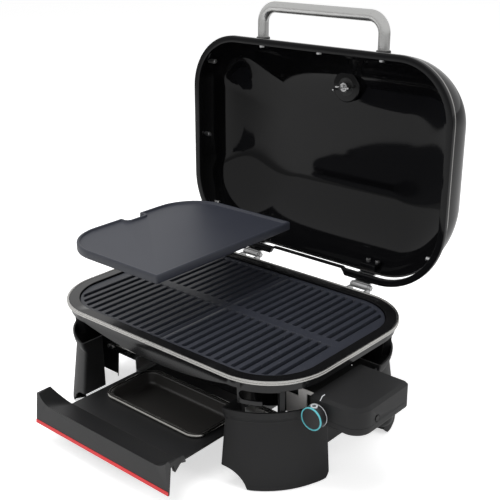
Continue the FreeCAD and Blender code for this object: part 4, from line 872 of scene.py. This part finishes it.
def make_knob():
    """Face, teal ring and skirt of the knob, turned about its shaft, and the small index ring."""
    base = (284.5, -117.0, 130.0)
    out = (0, -1, 0)
    body = rounded([(0.05, 3), (13.5, 3), (13.5, 0.3), (17.4, 0.3), (18.0, 2), (18.0, 13.4),
                    (16.4, 13.6), (16.4, 15.0), (0.05, 15.2)],
                   [0, 0.3, 0.2, 0.3, 0.5, 0.4, 0.3, 0.5, 0], 4, False)
    fit(turned("knob_face", body, base, out, steps=72), "knob_body", knob_plastic)
    ring = rounded([(16.5, 13.5), (18.5, 13.5), (18.5, 16), (16.5, 16)], [0.3, 0.5, 0.9, 0.6], 4)
    fit(turned("knob_teal_ring", ring, base, out, steps=72, along=True), "knob_ring", teal_paint)
    skirt = rounded([(16.6, 0), (18.6, 0), (18.6, 1.0), (16.6, 1.0)], [0.2, 0.4, 0.4, 0.2], 4)
    fit(turned("knob_silver_skirt", skirt, base, out, steps=72, along=True), "knob_skirt",
        silver_paint)
    fit(softened("knob_index_ring", 0.5, sharp=50), "knob_index_ring", silver_paint)


make_pan()
make_knob()


# Studio

def make_stage():
    """Wide pale floor that takes the shadow and shows white to the camera away from it."""
    mesh = bpy.data.meshes.new("studio_floor")
    size = 60.0
    mesh.from_pydata([(x, y, 0) for x, y in corners(size, -size, size)], [], [(0, 1, 2, 3)])
    floor = placed("studio_floor", mesh)
    floor.location.z = -0.0004
    paint = bpy.data.materials.new("studio_floor")
    paint.use_nodes = True
    tree = paint.node_tree
    tree.nodes.clear()
    output = tree.nodes.new("ShaderNodeOutputMaterial")
    matte = tree.nodes.new("ShaderNodeBsdfDiffuse")
    matte.inputs["Color"].default_value = (0.86, 0.86, 0.86, 1)
    glow = tree.nodes.new("ShaderNodeEmission")
    light_path = tree.nodes.new("ShaderNodeLightPath")
    amount = tree.nodes.new("ShaderNodeMath")
    amount.operation = "MULTIPLY"
    amount.inputs[1].default_value = 0.62
    tree.links.new(light_path.outputs["Is Camera Ray"], amount.inputs[0])
    tree.links.new(amount.outputs[0], glow.inputs["Strength"])
    both = tree.nodes.new("ShaderNodeAddShader")
    tree.links.new(matte.outputs[0], both.inputs[0])
    tree.links.new(glow.outputs[0], both.inputs[1])
    tree.links.new(both.outputs[0], output.inputs["Surface"])
    mesh.materials.append(paint)


def make_world():
    """Soft grey light all round, white to the camera."""
    world = bpy.data.worlds.new("studio")
    bpy.context.scene.world = world
    world.use_nodes = True
    tree = world.node_tree
    background = tree.nodes["Background"]
    background.inputs["Color"].default_value = (1, 1, 1, 1)
    light_path = tree.nodes.new("ShaderNodeLightPath")
    choose = tree.nodes.new("ShaderNodeMapRange")
    tree.links.new(light_path.outputs["Is Camera Ray"], choose.inputs["Value"])
    glossy = tree.nodes.new("ShaderNodeMapRange")
    tree.links.new(light_path.outputs["Is Glossy Ray"], glossy.inputs["Value"])
    glossy.inputs["To Min"].default_value = 0.42
    glossy.inputs["To Max"].default_value = 0.8
    tree.links.new(glossy.outputs[0], choose.inputs["To Min"])
    choose.inputs["To Max"].default_value = 1.0
    tree.links.new(choose.outputs[0], background.inputs["Strength"])


def lamp(name, place, aim, size, power, height=None):
    """Square or oblong soft box at `place`, turned to face `aim`."""
    data = bpy.data.lights.new(name, "AREA")
    data.shape = "RECTANGLE"
    data.size = size
    data.size_y = height or size
    data.energy = power
    piece = placed(name, data)
    piece.location = place
    piece.visible_glossy = False
    piece.rotation_euler = (Vector(aim) - Vector(place)).to_track_quat("-Z", "Y").to_euler()


def make_camera():
    """The photograph's camera: azimuth 41.66, elevation 21.05 and a small roll, in degrees."""
    azimuth, elevation, roll = (math.radians(a) for a in (41.6558, 21.0531, -0.7279))
    back = np.array([math.sin(azimuth) * math.cos(elevation),
                     -math.cos(azimuth) * math.cos(elevation), math.sin(elevation)])
    level = np.array([math.cos(azimuth), math.sin(azimuth), 0.0])
    rise = np.cross(back, level)
    right = level * math.cos(roll) + rise * math.sin(roll)
    up = rise * math.cos(roll) - level * math.sin(roll)
    data = bpy.data.cameras.new("camera")
    focal_pixels, picture_pixels = 928.417, 500
    data.sensor_width = 36
    data.lens = focal_pixels / picture_pixels * 36
    data.clip_end = 200
    camera = placed("camera", data)
    place = metres((1004.2, -1070.8, 662.8 + RIM_TOP))
    rows = np.stack([right, up, back, place], -1).tolist()
    camera.matrix_world = Matrix(rows + [[0, 0, 0, 1]])
    bpy.context.scene.camera = camera


make_stage()
make_world()
lamp("top box", (-0.3, -0.2, 2.6), (0, 0, 0.3), 1.8, 38)
lamp("left box", (-2.2, -1.6, 1.6), (0, 0, 0.3), 1.2, 26, 1.8)
lamp("right box", (2.4, 0.4, 1.4), (0, 0, 0.3), 1.0, 18, 1.6)
make_camera()
bpy.context.scene.view_settings.view_transform = "Standard"
